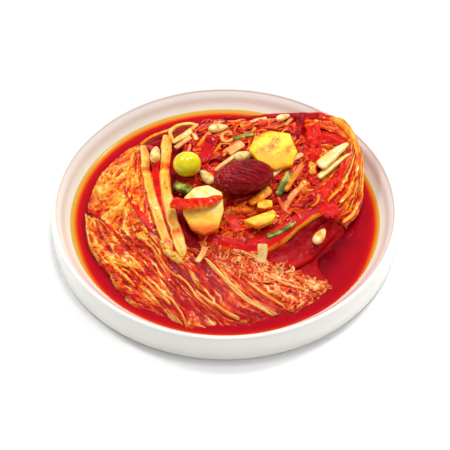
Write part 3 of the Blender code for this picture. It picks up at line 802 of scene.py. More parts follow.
# Strong pale veins of the fan: path, half width and strength
FAN_VEINS = (
    (((-11, -40), (-1, -51.5), (6, -60), (13, -66.5), (22, -72.5), (29, -75)), 1.9, 1.0),
    (((-16, -60), (-8, -67), (0, -73.5), (8, -79)), 1.4, 0.9),
    (((-27, -49), (-20, -57), (-17, -61), (-14, -64)), 0.9, 0.8),
    (((-56, -42), (-47, -52), (-41, -58), (-35, -64), (-30, -70)), 1.0, 0.8),
    (((-37, -60), (-30, -66), (-25, -73), (-21, -83)), 1.0, 0.8),
    (((13, -55), (22, -62), (33, -70)), 1.3, 0.9),
    (((25, -56), (33, -63), (41, -67)), 1.1, 0.8),
    (((18, -46), (30, -54), (40, -57.5), (47, -60)), 1.2, 0.9),
    (((-68, -34), (-61, -44), (-55, -51), (-50, -57)), 1.0, 0.8),
    (((-60, -26), (-50, -34), (-42, -42)), 0.9, 0.5),
    (((-45, -30), (-38, -38), (-32, -46), (-24, -53)), 0.8, 0.7),
    (((-50, -60), (-42, -68), (-36, -76)), 0.8, 0.5),
    (((2, -47), (10, -56), (18, -64)), 0.8, 0.6),
)


def strong_veins(x, y):
    """How much of a strong vein there is at plan points: 1 on the crest of the strongest."""
    crest = np.zeros(len(x))
    wander = 0.7 * rough_noise(x, y, 6, 77)
    for path, half_width, strength in FAN_VEINS:
        reach, share = distance_to(path, x + wander, y - wander)
        taper = half_width * np.sqrt(np.clip(1 - (2 * share - 1) ** 6, 0, 1))
        crest = np.maximum(crest, strength * (1 - ease(reach, 0.3 * taper, taper + 0.3)))
    return crest


def fanned(spacing, tone, contrast, rim, lift, dive=0.6, blister=0.0):
    """Long leaf with fine veins that run its whole length; its low edge is pale and lifted."""

    def relief(at):
        crest = veins(at, spacing, 0.7, at.seed)
        thin = fibres(at.across, at.along, spacing * 0.5, 9, at.seed + 9)
        thinner = fibres(at.across, at.along, spacing * 0.3, 6, at.seed + 8)
        swell = rough_noise(at.along * 0.4, at.across, 6, at.seed + 2)
        bubble = fibres(at.across, at.along, 1.8, 1.4, at.seed + 4)
        strong = strong_veins(at.x, at.y)
        height = 0.7 * crest + 0.45 * thin + 0.2 * thinner + 0.7 * swell
        height = height + 0.9 * blister * bubble + 1.1 * strong
        height += lift * (1 - at.v) - dive * at.v + tuck(at.low, 1.4 + lift, 1.1)
        height += tucked(at, start=(1.5, 3), finish=(2.0, 12))
        blotch = rough_noise(at.along * 0.8, at.across * 1.3, 9, at.seed + 6)
        pattern = 0.5 * crest + 0.35 * thin + 0.3 * thinner
        pattern = pattern + (0.3 + 0.5 * blister) * blotch + 0.4 * blister * bubble
        pale = tone + patches(FAN_TONES, at.x, at.y) + contrast * levelled(pattern)
        pale = pale + rim * (1 - ease(at.low, 0.5, 1.5))
        return height, np.maximum(pale, strong * (0.84 + 0.2 * thin + 0.2 * swell))

    return relief


def frilled(size, tone, contrast, lift=0.8, curl=0.8):
    """Crinkled leaf end: deep curling folds with pale crests over red pits."""

    def relief(at):
        warp = 1.6 * rough_noise(at.x, at.y, 4, at.seed)
        folds = fibres(at.across + warp, at.along, size, 5.0, at.seed)
        curls = fibres(at.along + warp, at.across - warp, size, 1.4, at.seed + 5)
        fine = fibres(at.across - warp, at.along, size * 0.45, 2.0, at.seed + 1)
        swell = rough_noise(at.x, at.y, 6, at.seed + 2)
        strong = strong_veins(at.x, at.y)
        net = np.maximum(folds, curl * curls)
        height = 1.2 * net + 0.5 * fine + 0.5 * swell + strong + lift * (1 - 0.6 * at.v)
        height += tucked(at, low=(2.0, 1.2), high=(1.0, 1.6), finish=(2.0, 6), start=(1.2, 3))
        pattern = net + 0.8 * fine + 0.2 * swell
        pale = tone + patches(FAN_TONES, at.x, at.y) + contrast * levelled(pattern)
        pale += 0.2 * (1 - ease(at.low, 0.5, 1.6))
        return height, np.maximum(pale, strong * 0.95)

    return relief


def smooth(tone, rim, crown, ripple, rim_reach=3.0):
    """A sauced leaf: glossy and almost smooth, with a thin orange border."""

    def relief(at):
        swell = rough_noise(at.along, at.across * 1.6, 11, at.seed)
        grain = veins(at, 2.2, 0.8, at.seed + 3, keep=0.1)
        height = 0.6 + crown * np.sin(np.pi * at.v) + ripple * swell + 0.12 * grain
        height += tucked(at, high=(1.8, 1.4), low=(1.6, 1.6), start=(1.6, 3), finish=(1.6, 3))
        pale = tone + 0.16 * swell + 0.1 * grain + rim * (1 - ease(at.high, 0.4, rim_reach))
        return height, pale

    return relief


def lumpy(at):
    """Seasoning bed: shreds and crumbs packed together under the toppings."""
    along, across = (at.x + at.y) / 1.4, (at.y - at.x) / 1.4
    strands = fibres(across, along, 3.0, 3.0, at.seed)
    threads = fibres(across, along, 1.4, 3.5, at.seed + 1)
    crumbs = cell_walls(at.x / 1.6, at.y / 1.8, at.seed + 1)
    swell = rough_noise(at.x, at.y, 8, at.seed + 2)
    height = 0.9 * strands + 0.4 * threads - 0.4 * crumbs + 1.1 * swell
    height += tuck(np.minimum(np.minimum(at.low, at.high), np.minimum(at.start, at.finish)), 3.5, 3.0)
    return height, 0.36 + 0.26 * strands + 0.16 * threads - 0.1 * crumbs + 0.36 * swell


def ribbed(tone, groove=0.25, streak=0.12, stain=0.0):
    """Pale midrib: grooves and thin streaks along it, orange at its borders, stained in places."""

    def relief(at):
        grooves = soft_noise(at.side * 3.2, at.along / 14, 1.0, 5)
        streaks = fibres(at.side * 3, at.along, 0.9, 9, 7)
        wave = rough_noise(at.along, at.side * 2, 8, 2)
        border = ease(np.abs(at.side), 0.55, 1.0)
        stained = ease(rough_noise(at.along, at.side * 1.5, 9, 12), 0.15, 0.7)
        pale = tone + streak * grooves + 0.14 * wave - 0.2 * streaks - 0.45 * border - stain * stained
        return groove * grooves + 0.3 * wave, pale

    return relief


def shredded(tone, spread=0.25):
    """Cut root or leaf: uneven along its length, paler in places."""

    def relief(at):
        wave = rough_noise(at.along, at.side * 2, 5, 3)
        return 0.3 * wave, tone + spread * wave

    return relief


# ---------------------------------------------------------------- the folded leaves


# The outer leaf from the back to the crease, from the brine inwards
OUTER_LEAF = (
    ((-46, 45.5), (-53, 48), (-60, 46), (-67.5, 37.5), (-74, 28), (-77.5, 17), (-79.5, 8), (-79, 1.5)),
    ((-47.5, 43), (-56, 39), (-62, 30), (-66, 18), (-68, 6), (-69.5, -4), (-70.5, -12)),
    ((-49, 41), (-53, 37), (-53.5, 28), (-54, 18), (-54.5, 8), (-54, -3), (-55, -14), (-59, -26)),
)
# The fold between the outer leaf and the left rib
INNER_FOLD = (
    ((-55, 40), (-56.5, 28), (-57.5, 18), (-58, 6), (-57.5, -6), (-58.5, -18), (-54, -28), (-46, -35)),
    ((-49, 41), (-50, 28), (-49.5, 14), (-47.5, 0), (-46, -12), (-43, -23), (-37, -33)),
    ((-46, 43), (-44, 27), (-42.5, 13), (-39.5, -3), (-35.5, -16), (-29, -32)),
)
# Guide curves of the fan, each from the fold down into the brine, from the left to the right
FAN = (
    ((-81, 1), (-78.8, -19.5), (-74, -32), (-67.5, -43.5), (-62, -52.5), (-57, -61.5), (-51, -67.5)),
    ((-76, -4), (-69, -22), (-62.6, -34.9), (-54.9, -45.2), (-45.3, -58.3), (-36.6, -68.1), (-30.3, -77)),
    ((-66, -17), (-59.5, -25), (-53.6, -31.4), (-42, -46.4), (-31.7, -60.6), (-23.7, -77.1), (-20.8, -84)),
    ((-53, -19), (-47, -27), (-40.1, -33.6), (-32.5, -46.1), (-22.3, -60.7), (-11.1, -72.9), (-1.7, -83.5)),
    ((-42, -18), (-35, -28), (-27.5, -37.8), (-16.8, -55.9), (-6.7, -70.6), (8.1, -79.7), (14, -82)),
    ((-24, -34), (-10.8, -42), (-0.7, -53.5), (12.6, -66.4), (27.3, -74.8)),
    ((-12, -33), (2.7, -41), (16.5, -55.7), (32.9, -70.5), (38, -73)),
    ((4, -35), (17, -41), (31, -51), (41.5, -60), (50, -64)),
    ((18, -38), (32, -43), (45, -48.5), (57, -53), (60, -54)),
)


# Leaves of the fan, from the left to the right: what fanned takes for each
FAN_LEAVES = {
    "fan_edge": (4.5, 0.33, 0.26, 0.4, 1.2, 0.4, 0.9),
    "fan_left": (3.4, 0.39, 0.25, 0.3, 1.1, 0.5, 0.7),
    "fan_middle": (2.3, 0.265, 0.25, 0.1, 0.9),
    "fan_right": (2.6, 0.275, 0.25, 0.1, 0.9),
    "fan_valley": (2.8, 0.33, 0.25, 0.3, 1.2),
    "fan_far": (2.4, 0.4, 0.24, 0.3, 1.3),
}
UNDERLAP = 0.3


def overlapping(index):
    """The guides of one leaf of the fan, which goes on a little under the next leaf."""
    shares = np.linspace(0, 1, 9)
    low, high = through(FAN[index], shares), through(FAN[index + 1], shares)
    beyond = through(FAN[min(index + 2, len(FAN) - 1)], shares)
    return low, high, high * (1 - UNDERLAP) + beyond * UNDERLAP


def build_folded_leaves():
    yellow = leaf_finish("blistered yellow leaf", LEAF_STOPS, 1.3, 0.34, specks=0.85, soak=0.3)
    fan = leaf_finish("long veined leaf", FAN_STOPS, 0.9, 0.2, soak=0.3, wet=0.5, film=2.4)
    frill = leaf_finish("crinkled leaf end", FRILL_STOPS, 0.8, 0.2, specks=0.1, soak=0.2, wet=0.5)
    leaf("outer_leaf", OUTER_LEAF, savoy, yellow, seed=3)
    leaf("inner_fold", INNER_FOLD, fanned(3.0, 0.46, 0.2, 0.0, 0.3, 0.2, 0.8), yellow, seed=5)
    for index, (name, relief) in enumerate(FAN_LEAVES.items()):
        finish = yellow if name == "fan_edge" else fan
        leaf(name, overlapping(index), fanned(*relief), finish, seed=11 + index, ragged=1.6)
    end, back = frilled(2.2, 0.5, 0.28, curl=0.35), frilled(2.0, 0.52, 0.28, curl=0.4)
    leaf("crinkled_end", overlapping(6), end, frill, seed=17, ragged=3.0)
    leaf("crinkled_back", overlapping(7)[:2], back, frill, seed=18, ragged=4.0)


# Midribs that stand pale over the leaves: path, widths at both ends and thickness
RIBS = {
    "rib_left": (
        ((-48.6, 47), (-46.6, 30), (-45.5, 16.5), (-43.3, 3), (-39.6, -11), (-35.4, -25), (-30.5, -38)),
        (5.0, 6.2), 2.0,
    ),
    "rib_right": (
        ((-35, 55), (-34.3, 34), (-34.8, 15), (-33.7, 0), (-30.8, -14), (-27.6, -26), (-23.5, -40)),
        (5.8, 7.4), 2.6,
    ),
}
# Red sauce that lies in the creases: path and width
SAUCE_LINES = (
    (((-46, 46), (-41, 34), (-40, 18), (-38.5, 2), (-35, -13), (-31.5, -25)), 5.5),
    (((-79, 3.5), (-76.5, -1), (-73, -5.5), (-68, -12.5), (-63, -20.5), (-58.5, -25.5)), 2.6),
    (((-57, 9), (-54.5, -1), (-50, -10), (-44.5, -18.5), (-41, -25)), 4.8),
)


# Crinkled ends of the ribs' leaf, where it tears off over the fan: guide curves
TORN_END = (
    ((-37, -30), (-31, -34.5), (-24, -36.5), (-18, -35.5)),
    ((-36, -34), (-30.5, -38), (-24, -40), (-17, -39)),
    ((-34.5, -37.5), (-30, -41), (-24.5, -43), (-18, -41.5)),
)
# The cut leaf across the fan below the ribs: guide curves
CUT_LEAF = (
    ((-63, -34), (-56, -39), (-49, -41), (-41, -37)),
    ((-62, -38), (-55, -43), (-48, -44.5), (-40, -41)),
    ((-60, -42), (-54, -46), (-47.5, -47.5), (-40, -44.5)),
)


def build_ribs():
    pale = leaf_finish("pale midrib", RIB_STOPS, 2.2, 0.18, specks=0.8, soak=0.2, wet=0.8, film=3.5)
    relief = ribbed(0.64, 0.35, 0.22, 0.4)
    sticks(RIBS, "_flesh", pale, "rib", relief, 0.0, over=ground, blunt=0.1, wobble=0.25)
    sauce = leaf_finish("sauce in the creases", SAUCE_STOPS, 1.6, wet=0.55)
    lines = [(path, width, 1.2, shredded(0.55, 0.5), 0.2) for path, width in SAUCE_LINES]
    strips("crease_sauce", lines, sauce, "seasoning", over=ground, blunt=0.3, wobble=0.6)
    torn = leaf_finish("torn leaf end", LEAF_STOPS, 0.9, specks=0.3, wet=0.8)
    leaf("torn_end", TORN_END, frilled(1.8, 0.6, 0.26, 1.6), torn, seed=19, ragged=1.6)
    leaf("cut_leaf", CUT_LEAF, fanned(2.2, 0.6, 0.22, -0.3, 0.4, -1.4, 0.8), torn, seed=20, ragged=1.6)


# Smooth sauced leaves at the heap's front, over the pool and at the back: guide curves
RED_LEAF = (
    ((-17, -21), (-3, -25.5), (8, -27.5), (20, -23.5), (34, -15), (47, -6.5), (59, 1)),
    ((-16, -26), (-3, -30), (8, -32.5), (21, -31.5), (35, -21), (47, -11), (60, -2)),
    ((-14, -31), (-2, -34.5), (7, -37), (19, -37.5), (32, -29.5), (45, -17), (60, -6)),
)
DARK_LEAF = (
    ((22, -41), (43, -27), (55, -15), (63, -9)),
    ((28, -44.5), (44, -34), (55, -22), (64, -13)),
    ((33, -47.5), (45, -40.5), (54, -29), (63, -18)),
)
BACK_LEAF = (
    ((-4, 76), (18, 70.5), (40, 63), (57, 55)),
    ((-2, 73), (18, 67.5), (39, 60), (55, 52)),
    ((0, 70), (18, 64.5), (38, 56.5), (53, 47.5)),
)


def build_smooth_leaves():
    sauced = leaf_finish("sauced red leaf", SMOOTH_STOPS, 4.0, 0.12, soak=0.2, wet=0.45)
    dark = leaf_finish("dark sauced leaf", SMOOTH_STOPS, 4.0, 0.16, soak=0.2, wet=0.2)
    skins = (
        ("red_leaf", RED_LEAF, smooth(0.47, 0.5, 1.0, 0.9, rim_reach=5.0), sauced),
        ("dark_leaf", DARK_LEAF, smooth(0.24, 0.14, 1.6, 1.2), dark),
        ("back_leaf", BACK_LEAF, smooth(0.2, 0.2, 1.6, 1.0), dark),
    )
    for index, (node, guides, relief, finish) in enumerate(skins):
        leaf(node + "_skin", guides, relief, finish, "leaf", seed=21 + index, replaces=[node])


# ---------------------------------------------------------------- the heart at the back right


# Lines that sweep from the heart's back corner round its right side, from the inside outwards
HEART = (
    ((73, 37), (67, 28.5), (60, 21.5), (52, 14), (44, 8)),
    ((75, 38), (70.5, 27), (64, 17.5), (56.5, 9), (48, 1)),
    ((77, 39), (74, 25.5), (68.5, 13), (61, 3.5), (52, -4)),
    ((78.5, 40.5), (77, 25), (73, 10), (67, -1), (58, -9)),
    ((79.5, 38), (79.5, 25), (76.5, 9), (71.5, -2), (64, -11)),
    ((80, 37), (81, 26), (80.5, 11), (77, -2), (70, -12)),
)
# Lines that sweep from the same corner to the left, from the outside inwards
CORNER = (
    ((80, 32), (77.5, 45), (70, 55), (56, 61), (41, 63)),
    ((78, 33), (74, 43), (66, 51), (54, 56), (41, 58)),
    ((76, 33), (70, 40), (62, 46), (52, 50), (43, 51)),
    ((74, 33), (67, 36), (59, 40), (51, 43), (45, 43)),
    ((72, 32), (64, 31), (57, 32), (50, 33), (46, 33)),
    ((70, 30), (62, 25), (55, 23), (49, 23), (45, 22)),
)
HEART_RIBS = {
    "heart_slab_back": (((54, 17.6), (60, 22.5), (65, 26.6), (71.5, 32)), (8.6, 3.8), 3.0),
    "heart_slab_front": (((53.5, 11.2), (58, 14.8), (63.4, 19.2), (72.5, 27)), (3.8, 2.2), 2.2),
}
# Bright red sauce and soft leaf between the heart's leaves: guide curves
HEART_SAUCE = (
    (
        ((55.5, 47), (57, 32), (55.5, 23), (53, 14), (49, 4)),
        ((46.5, 47), (47, 32), (47.5, 23), (47, 14), (42, 5)),
    ),
    (((70.5, 24), (68.5, 15), (65, 5)), ((67.5, 25), (65, 16), (61, 7))),
    (((64, 10), (61, 3), (57, -5)), ((59, 12), (55, 5), (51, -3))),
)
HEART_STALKS = {
    "stalk_corner": (((66, 52), (73.5, 42.5), (77, 28.5), (76, 15.5)), (3.4, 2.4), 2.4),
    "stalk_side": (((74, 12), (71, 4), (65.5, -2.5)), (3.2, 2.2), 2.4),
    "stalk_low": (((77, 3), (73.5, -5), (67, -12)), (3.0, 2.2), 2.2),
}


def layered(tone, spacing):
    """Thin leaves stacked edge on edge: each has a pale lifted rim over a red gap."""

    def relief(at):
        place = at.across / spacing + 0.6 * rough_noise(at.along, at.across, 7, at.seed)
        line = np.floor(place)
        share = place - line
        fine = fibres(at.across, at.along, 1.1, 4, at.seed + 3)
        swell = rough_noise(at.along, at.across * 2, 7, at.seed + 2)
        blotch = rough_noise(at.x, at.y, 6, at.seed + 4)
        edge = (1 - ease(share, 0.1, 0.42)) * (0.5 + 0.5 * hashed(line, line * 0, at.seed + 6))
        height = (1 - share) ** 1.5 + 0.3 * fine + 0.7 * swell
        height += tucked(at, low=(1.5, 1.4), start=(1.0, 3), finish=(1.8, 5))
        pale = tone - 0.42 * ease(share, 0.5, 1.0) + 0.34 * edge + 0.14 * fine + 0.1 * swell
        pale = pale + 0.34 * blotch - 0.3 * (1 - ease(at.finish, 2, 14))
        return height + 0.4, pale + 0.22 * (hashed(line, line * 0, at.seed + 1) - 0.5)

    return relief


def broad(at):
    """The heart's outside leaf: softly blistered, red at the back and yellow at its corner."""
    swell = rough_noise(at.x, at.y, 7, at.seed)
    thin = fibres(at.across, at.along, 1.4, 5, at.seed + 1)
    blister = fibres(at.across, at.along, 2.8, 1.6, at.seed + 2)
    height = 0.6 + 0.9 * swell + 0.6 * blister + 0.3 * thin
    height = height + tuck(at.low, 2.4, 3.0) + tuck(at.high, 1.2, 1.4)
    height += tucked(at, start=(1.2, 3), finish=(1.2, 4))
    return height, 0.07 + 0.34 * ease(at.x, 50, 74) + 0.32 * swell + 0.18 * blister + 0.16 * thin


def build_heart():
    stacked = leaf_finish("stacked heart leaf", LEAF_STOPS, 1.2, 0.26, specks=0.5, soak=0.4, wet=0.9)
    pale = leaf_finish("pale heart rib", RIB_STOPS, 2.0, 0.16, specks=0.4, soak=0.1, wet=0.8)
    sauced = leaf_finish("sauced pocket", SAUCE_STOPS, 1.4, specks=0.3, soak=0.2, wet=0.5)
    for index, (inner, outer) in enumerate(zip(HEART, HEART[1:])):
        relief = layered(0.34, 2.2 + 0.4 * index)
        leaf(f"heart_leaf_{index}", (outer, inner), relief, stacked, seed=33 + index, ragged=1.2)
    leaf("corner_outside", CORNER[:3], broad, stacked, seed=48, ragged=1.4)
    for index, (outer, inner) in enumerate(zip(CORNER[2:], CORNER[3:])):
        finish, tone = (sauced, 0.6) if index == 1 else (stacked, 0.31 - 0.04 * index)
        leaf(f"corner_leaf_{index}", (outer, inner), layered(tone, 3.4), finish, seed=45 + index, ragged=1.6)
    pocket = frilled(2.6, 0.66, 0.22, 1.8)
    for index, guides in enumerate(HEART_SAUCE):
        leaf(f"heart_sauce_{index}", guides, pocket, sauced, "seasoning", seed=53 + index, ragged=2.6)
    slab, stalk = ribbed(0.98, stain=0.3), ribbed(0.75, stain=0.3)
    sticks(HEART_RIBS, "_flesh", pale, "rib", slab, 0.5, over=ground, blunt=(0.12, 0.3), wobble=0.2)
    sticks(HEART_STALKS, "_flesh", stacked, "rib", stalk, 0.3, over=ground, blunt=0.3, wobble=0.3)


# ---------------------------------------------------------------- seasoning and shreds


# The seasoning over the cabbage and along its front: guide curves
STUFFING = (
    ((-12, 70), (-24, 50), (-25, 20), (-23, -4), (-14, -18)),
    ((14, 62), (10, 46), (12, 22), (12, 0), (14, -18)),
    ((40, 54), (46, 40), (50, 24), (51, 8), (41, -8)),
)
FRONT_STUFFING = (
    ((-19, -12), (14, -14), (38, -5), (54, 8)),
    ((-19, -18), (0, -22), (14, -22), (36, -11), (56, 3)),
    ((-17, -24), (-2, -28.5), (10, -29.5), (34, -18), (58, -1)),
)
# Shreds of root and leaf: path, width, thickness, lift and paleness
SHREDS = (
    (((45, 24), (38, 19.5), (32, 14.5), (27, 9.5)), 2.8, 2.0, 1.0, 0.9),
    (((-6, 16), (1, 22), (7, 27)), 2.6, 2.0, 0.8, 0.86),
    (((-29.5, 37.5), (-25, 41.5), (-20, 46)), 3.0, 2.2, 0.8, 0.8),
    (((-18.5, 50.5), (-17.5, 47), (-16.5, 43)), 2.4, 1.8, 0.4, 0.98),
    (((15, 55), (20, 58), (25, 60)), 2.4, 1.8, 1.0, 0.9),
)
ORANGE_SHREDS = (
    (
        ((-30.5, 46), (-32.5, 57), (-28.5, 65), (-21, 66), (-17, 60.5), (-23.5, 53), (-30, 46.5)),
        2.4, 2.0, 0.8, 0.8,
    ),
    (((-31, 43), (-25, 47.5), (-19.5, 52.5)), 2.8, 2.2, 1.2, 0.92),
    (((-16, 36.5), (-12, 43), (-7.5, 50)), 2.4, 2.0, 1.0, 0.6),
    (((45, 18), (38.5, 7), (34, -0.5)), 3.4, 2.2, 0.8, 0.55),
    (((50.8, 19.5), (49.9, 16), (50.6, 12.2)), 3.8, 1.8, 1.6, 0.7),
    (((-50, 48), (-45.5, 54.5), (-41.5, 57), (-36, 60), (-31, 63)), 2.0, 1.6, 0.4, 0.6),
    (((14, -9.5), (20, -5.5), (26, -0.5)), 5.0, 1.8, 3.2, 0.6),
    (((46, 1), (44, 4), (46.5, 7)), 4.0, 2.0, 0.6, 0.6),
)
# The ring-shaped shred: middle, reach and how much longer than wide it is
RING_CENTRE = (1.5, 43)
RING_REACH = 3.4
RING_STRETCH = 1.3
# How many threads, curls, scraps and flakes are strewn, and how long and wide they are
THREADS = 80
THREAD_LENGTH = (6, 15)
THREAD_WIDTH = (1.0, 2.2)
CURLS = 300
CURL_LENGTH = (4, 10)
CURL_WIDTH = (0.7, 1.4)
SCRAPS = 110
FLAKES = 190
# Where the leaves' torn ends curl up over the front of the heap: guide curves
CURLY = (
    ((-16, -29), (-4, -36), (8, -40), (18, -42), (28, -44), (38, -46)),
    ((-11, -37), (0, -42), (12, -46), (24, -49), (36, -50), (47, -50)),
    ((-6, -42), (6, -48), (18, -53), (32, -56), (46, -56), (58, -53)),
)
# The paler tangle at the back of the heap: guide curves
BACK_TANGLE = (
    ((-22, 30), (-18, 46), (-12, 60)),
    ((0, 30), (4, 46), (10, 62)),
    ((20, 34), (26, 48), (34, 58)),
)
# The whole top of the cabbage, from the left edge to the right: guide curves
WHOLE_TOP = (
    ((-72, 20), (-74, -10), (-60, -50)),
    ((-40, 50), (-35, 0), (-20, -70)),
    ((10, 62), (15, 0), (25, -65)),
    ((70, 45), (70, 10), (50, -50)),
)


STREWN_FROM = 0.03


def strewn(guides, chance):
    """A place picked by chance on the surface that the guide curves span."""
    u, v = chance.uniform(STREWN_FROM, 1 - STREWN_FROM, 2)
    return through(np.stack([through(guide, np.array([u])) for guide in guides]), np.array([v]))[0]


def scattered_threads(
    count, seed, guides, tones, heading=(42, 34), length=THREAD_LENGTH, width=THREAD_WIDTH, bend=0.6
):
    """Thin shreds strewn over a surface; bend is how far each one turns along its length."""
    chance = np.random.default_rng(seed)
    shapes = []
    for _ in range(count):
        turn = chance.normal(0, bend)
        headings = math.radians(chance.normal(*heading)) + turn * np.linspace(-0.5, 0.5, 6)
        step = chance.uniform(*length) / 6
        path = np.cumsum(np.stack([np.cos(headings), np.sin(headings)], axis=1) * step, axis=0)
        path += strewn(guides, chance) - path.mean(axis=0)
        wide = chance.uniform(*width)
        tone = chance.uniform(*tones)
        shapes.append((path, wide, wide * 0.7, shredded(tone, 0.25), chance.uniform(0.2, 1.4)))
    return shapes


def build_scraps(finish):
    """Small torn leaves strewn over the seasoning, each bent and paler at its rim."""
    chance = np.random.default_rng(71)
    bm = bmesh.new()
    for _ in range(SCRAPS):
        mesh, u, v = grid_mesh("scrap", 9, 6)
        long, wide = chance.uniform(5, 12), chance.uniform(2.5, 6.5)
        seed = chance.integers(1000)
        a = (u - 0.5) * long
        b = (v - 0.5) * wide * (1 - 0.7 * (2 * u - 1) ** 2) + 0.6 * rough_noise(a, v * wide, 3, seed)
        x, y = turned(a, b, chance.normal(42, 40))
        at = strewn(FRONT_STUFFING if chance.random() < 0.3 else STUFFING, chance)
        rise = 1.5 + chance.uniform(-0.4, 0.5) * b * b / wide + 0.7 * rough_noise(a, b, 3, seed + 1)
        place_points(mesh, x + at[0], y + at[1], bed(x + at[0], y + at[1]) + np.clip(rise, 0, 3))
        rim = np.maximum(np.abs(2 * u - 1), np.abs(2 * v - 1))
        tone = chance.uniform(0.0, 0.4) + 0.25 * ease(rim, 0.6, 1)
        paint(mesh, tone + 0.25 * rough_noise(a, b, 3, seed))
        bm.from_mesh(mesh)
        bpy.data.meshes.remove(mesh)
    thicken(finished("leaf_scraps", mesh_of("leaf_scraps", bm), finish))


def build_flakes():
    """Chilli flakes: small flat chips strewn over the whole top."""
    chance = np.random.default_rng(81)
    bm = bmesh.new()
    for _ in range(FLAKES):
        at = strewn(WHOLE_TOP, chance)
        size = chance.uniform(0.35, 0.85)
        made = bmesh.ops.create_icosphere(bm, subdivisions=1, radius=size * MM)
        bmesh.ops.scale(bm, verts=made["verts"], vec=(1, chance.uniform(0.5, 1), 0.35))
        bmesh.ops.rotate(bm, verts=made["verts"], matrix=Matrix.Rotation(chance.uniform(0, 6), 3, "Z"))
        height = float(bed(at[0], at[1])) + 1.5
        bmesh.ops.translate(bm, verts=made["verts"], vec=(at[0] * MM, at[1] * MM, height * MM))
    flake = Finish("chilli flake", roughness=0.3, coat=0.6)
    flake.colour(flake.mix(flake.noise(3), (136, 6, 4), (196, 24, 6)))
    finished("chilli_flakes", solid_mesh("chilli_flakes", bm), flake.material)


def build_seasoning():
    sauce = leaf_finish("red seasoning", STUFF_STOPS, 1.0, 0.4, specks=0.3, wet=0.6)
    root = leaf_finish("stained root", ROOT_STOPS, 1.2, 0.22, specks=0.4, wet=0.8)
    orange = leaf_finish("orange shred", LEAF_STOPS, 1.2, 0.25, specks=0.3, wet=0.9)
    heap = {"slot": "seasoning", "over": bed, "ragged": 2.0}
    leaf("seasoning_bed", STUFFING, lumpy, sauce, seed=51, replaces=["stuffing"], **heap)
    leaf("front_seasoning", FRONT_STUFFING, lumpy, sauce, seed=52, **heap)
    turns = np.radians(np.linspace(30, 330, 9))
    ring_x = RING_CENTRE[0] + RING_REACH * np.cos(turns)
    ring = np.stack([ring_x, RING_CENTRE[1] + RING_STRETCH * RING_REACH * np.sin(turns)], 1)
    roots = [(path, w, t, shredded(tone, 0.2), lift) for path, w, t, lift, tone in SHREDS]
    roots.append((ring, 2.0, 1.8, shredded(0.75, 0.2), 1.0))
    strips("root_shreds", roots, root, "seasoning", blunt=0.12, twist=0.5, wobble=0.2)
    leaves = [(path, w, t, shredded(tone, 0.25), lift) for path, w, t, lift, tone in ORANGE_SHREDS]
    strips("leaf_shreds", leaves, orange, "leaf", blunt=0.12, twist=0.7, wobble=0.3)
    thin = {"blunt": 0.2, "fine": 0.8}
    pale_threads = scattered_threads(THREADS // 2, 61, STUFFING, tones=(0.1, 0.8))
    strips("fine_root_threads", pale_threads, root, "seasoning", **thin)
    tangle = scattered_threads(THREADS, 66, BACK_TANGLE, bend=1.4, width=(0.9, 2.2), tones=(0.15, 0.75))
    strips("orange_tangle", tangle, orange, "leaf", **thin)
    front_tangle = scattered_threads(THREADS // 3, 67, FRONT_STUFFING, bend=1.2, tones=(0.15, 0.6))
    strips("front_tangle", front_tangle, orange, "leaf", **thin)
    red_threads = scattered_threads(THREADS, 62, STUFFING, tones=(0.1, 0.75))
    red_threads += scattered_threads(THREADS // 2, 65, FRONT_STUFFING, tones=(0.1, 0.7))
    strips("fine_red_threads", red_threads, sauce, "seasoning", **thin)
    curl = {"heading": (-35, 60), "length": CURL_LENGTH, "width": CURL_WIDTH, "bend": 2.8}
    curly = leaf_finish("curled leaf thread", FRILL_STOPS, 0.9, wet=0.9)
    over = Ground(["cabbage", "red_leaf", "dark_leaf"], blur=3)
    curled = scattered_threads(CURLS, 63, CURLY, tones=(0.35, 1.0), **curl)
    strips("curled_threads", curled, curly, "leaf", over=over, **thin)
    curled = scattered_threads(CURLS // 2, 64, STUFFING, tones=(0.2, 0.8), **curl)
    strips("curled_root_threads", curled, sauce, "seasoning", **thin)
    build_scraps(orange)
    build_flakes()


# ---------------------------------------------------------------- toppings


def moved_onto(mesh, node):
    """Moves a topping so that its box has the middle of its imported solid's box."""
    low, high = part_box(node)
    middle = (np.array(low) + np.array(high)) / 2 / MM
    points = points_of(mesh)
    shift = middle - (points.min(axis=1) + points.max(axis=1)) / 2
    place_points(mesh, *(points + shift[:, None]))


def ball(name, subdivisions):
    bm = bmesh.new()
    bmesh.ops.create_icosphere(bm, subdivisions=subdivisions, radius=1)
    mesh = mesh_of(name, bm)
    return mesh, points_of(mesh) * MM


# Half sizes along X, Y and Z of the toppings made from a ball, and the jujube's turn
JUJUBE = (17.4, 10.4, 9.0)
JUJUBE_TURN = 14
GINKGO = (8.1, 7.5, 7.1)
PEPPER = (5.2, 5.8, 1.9)


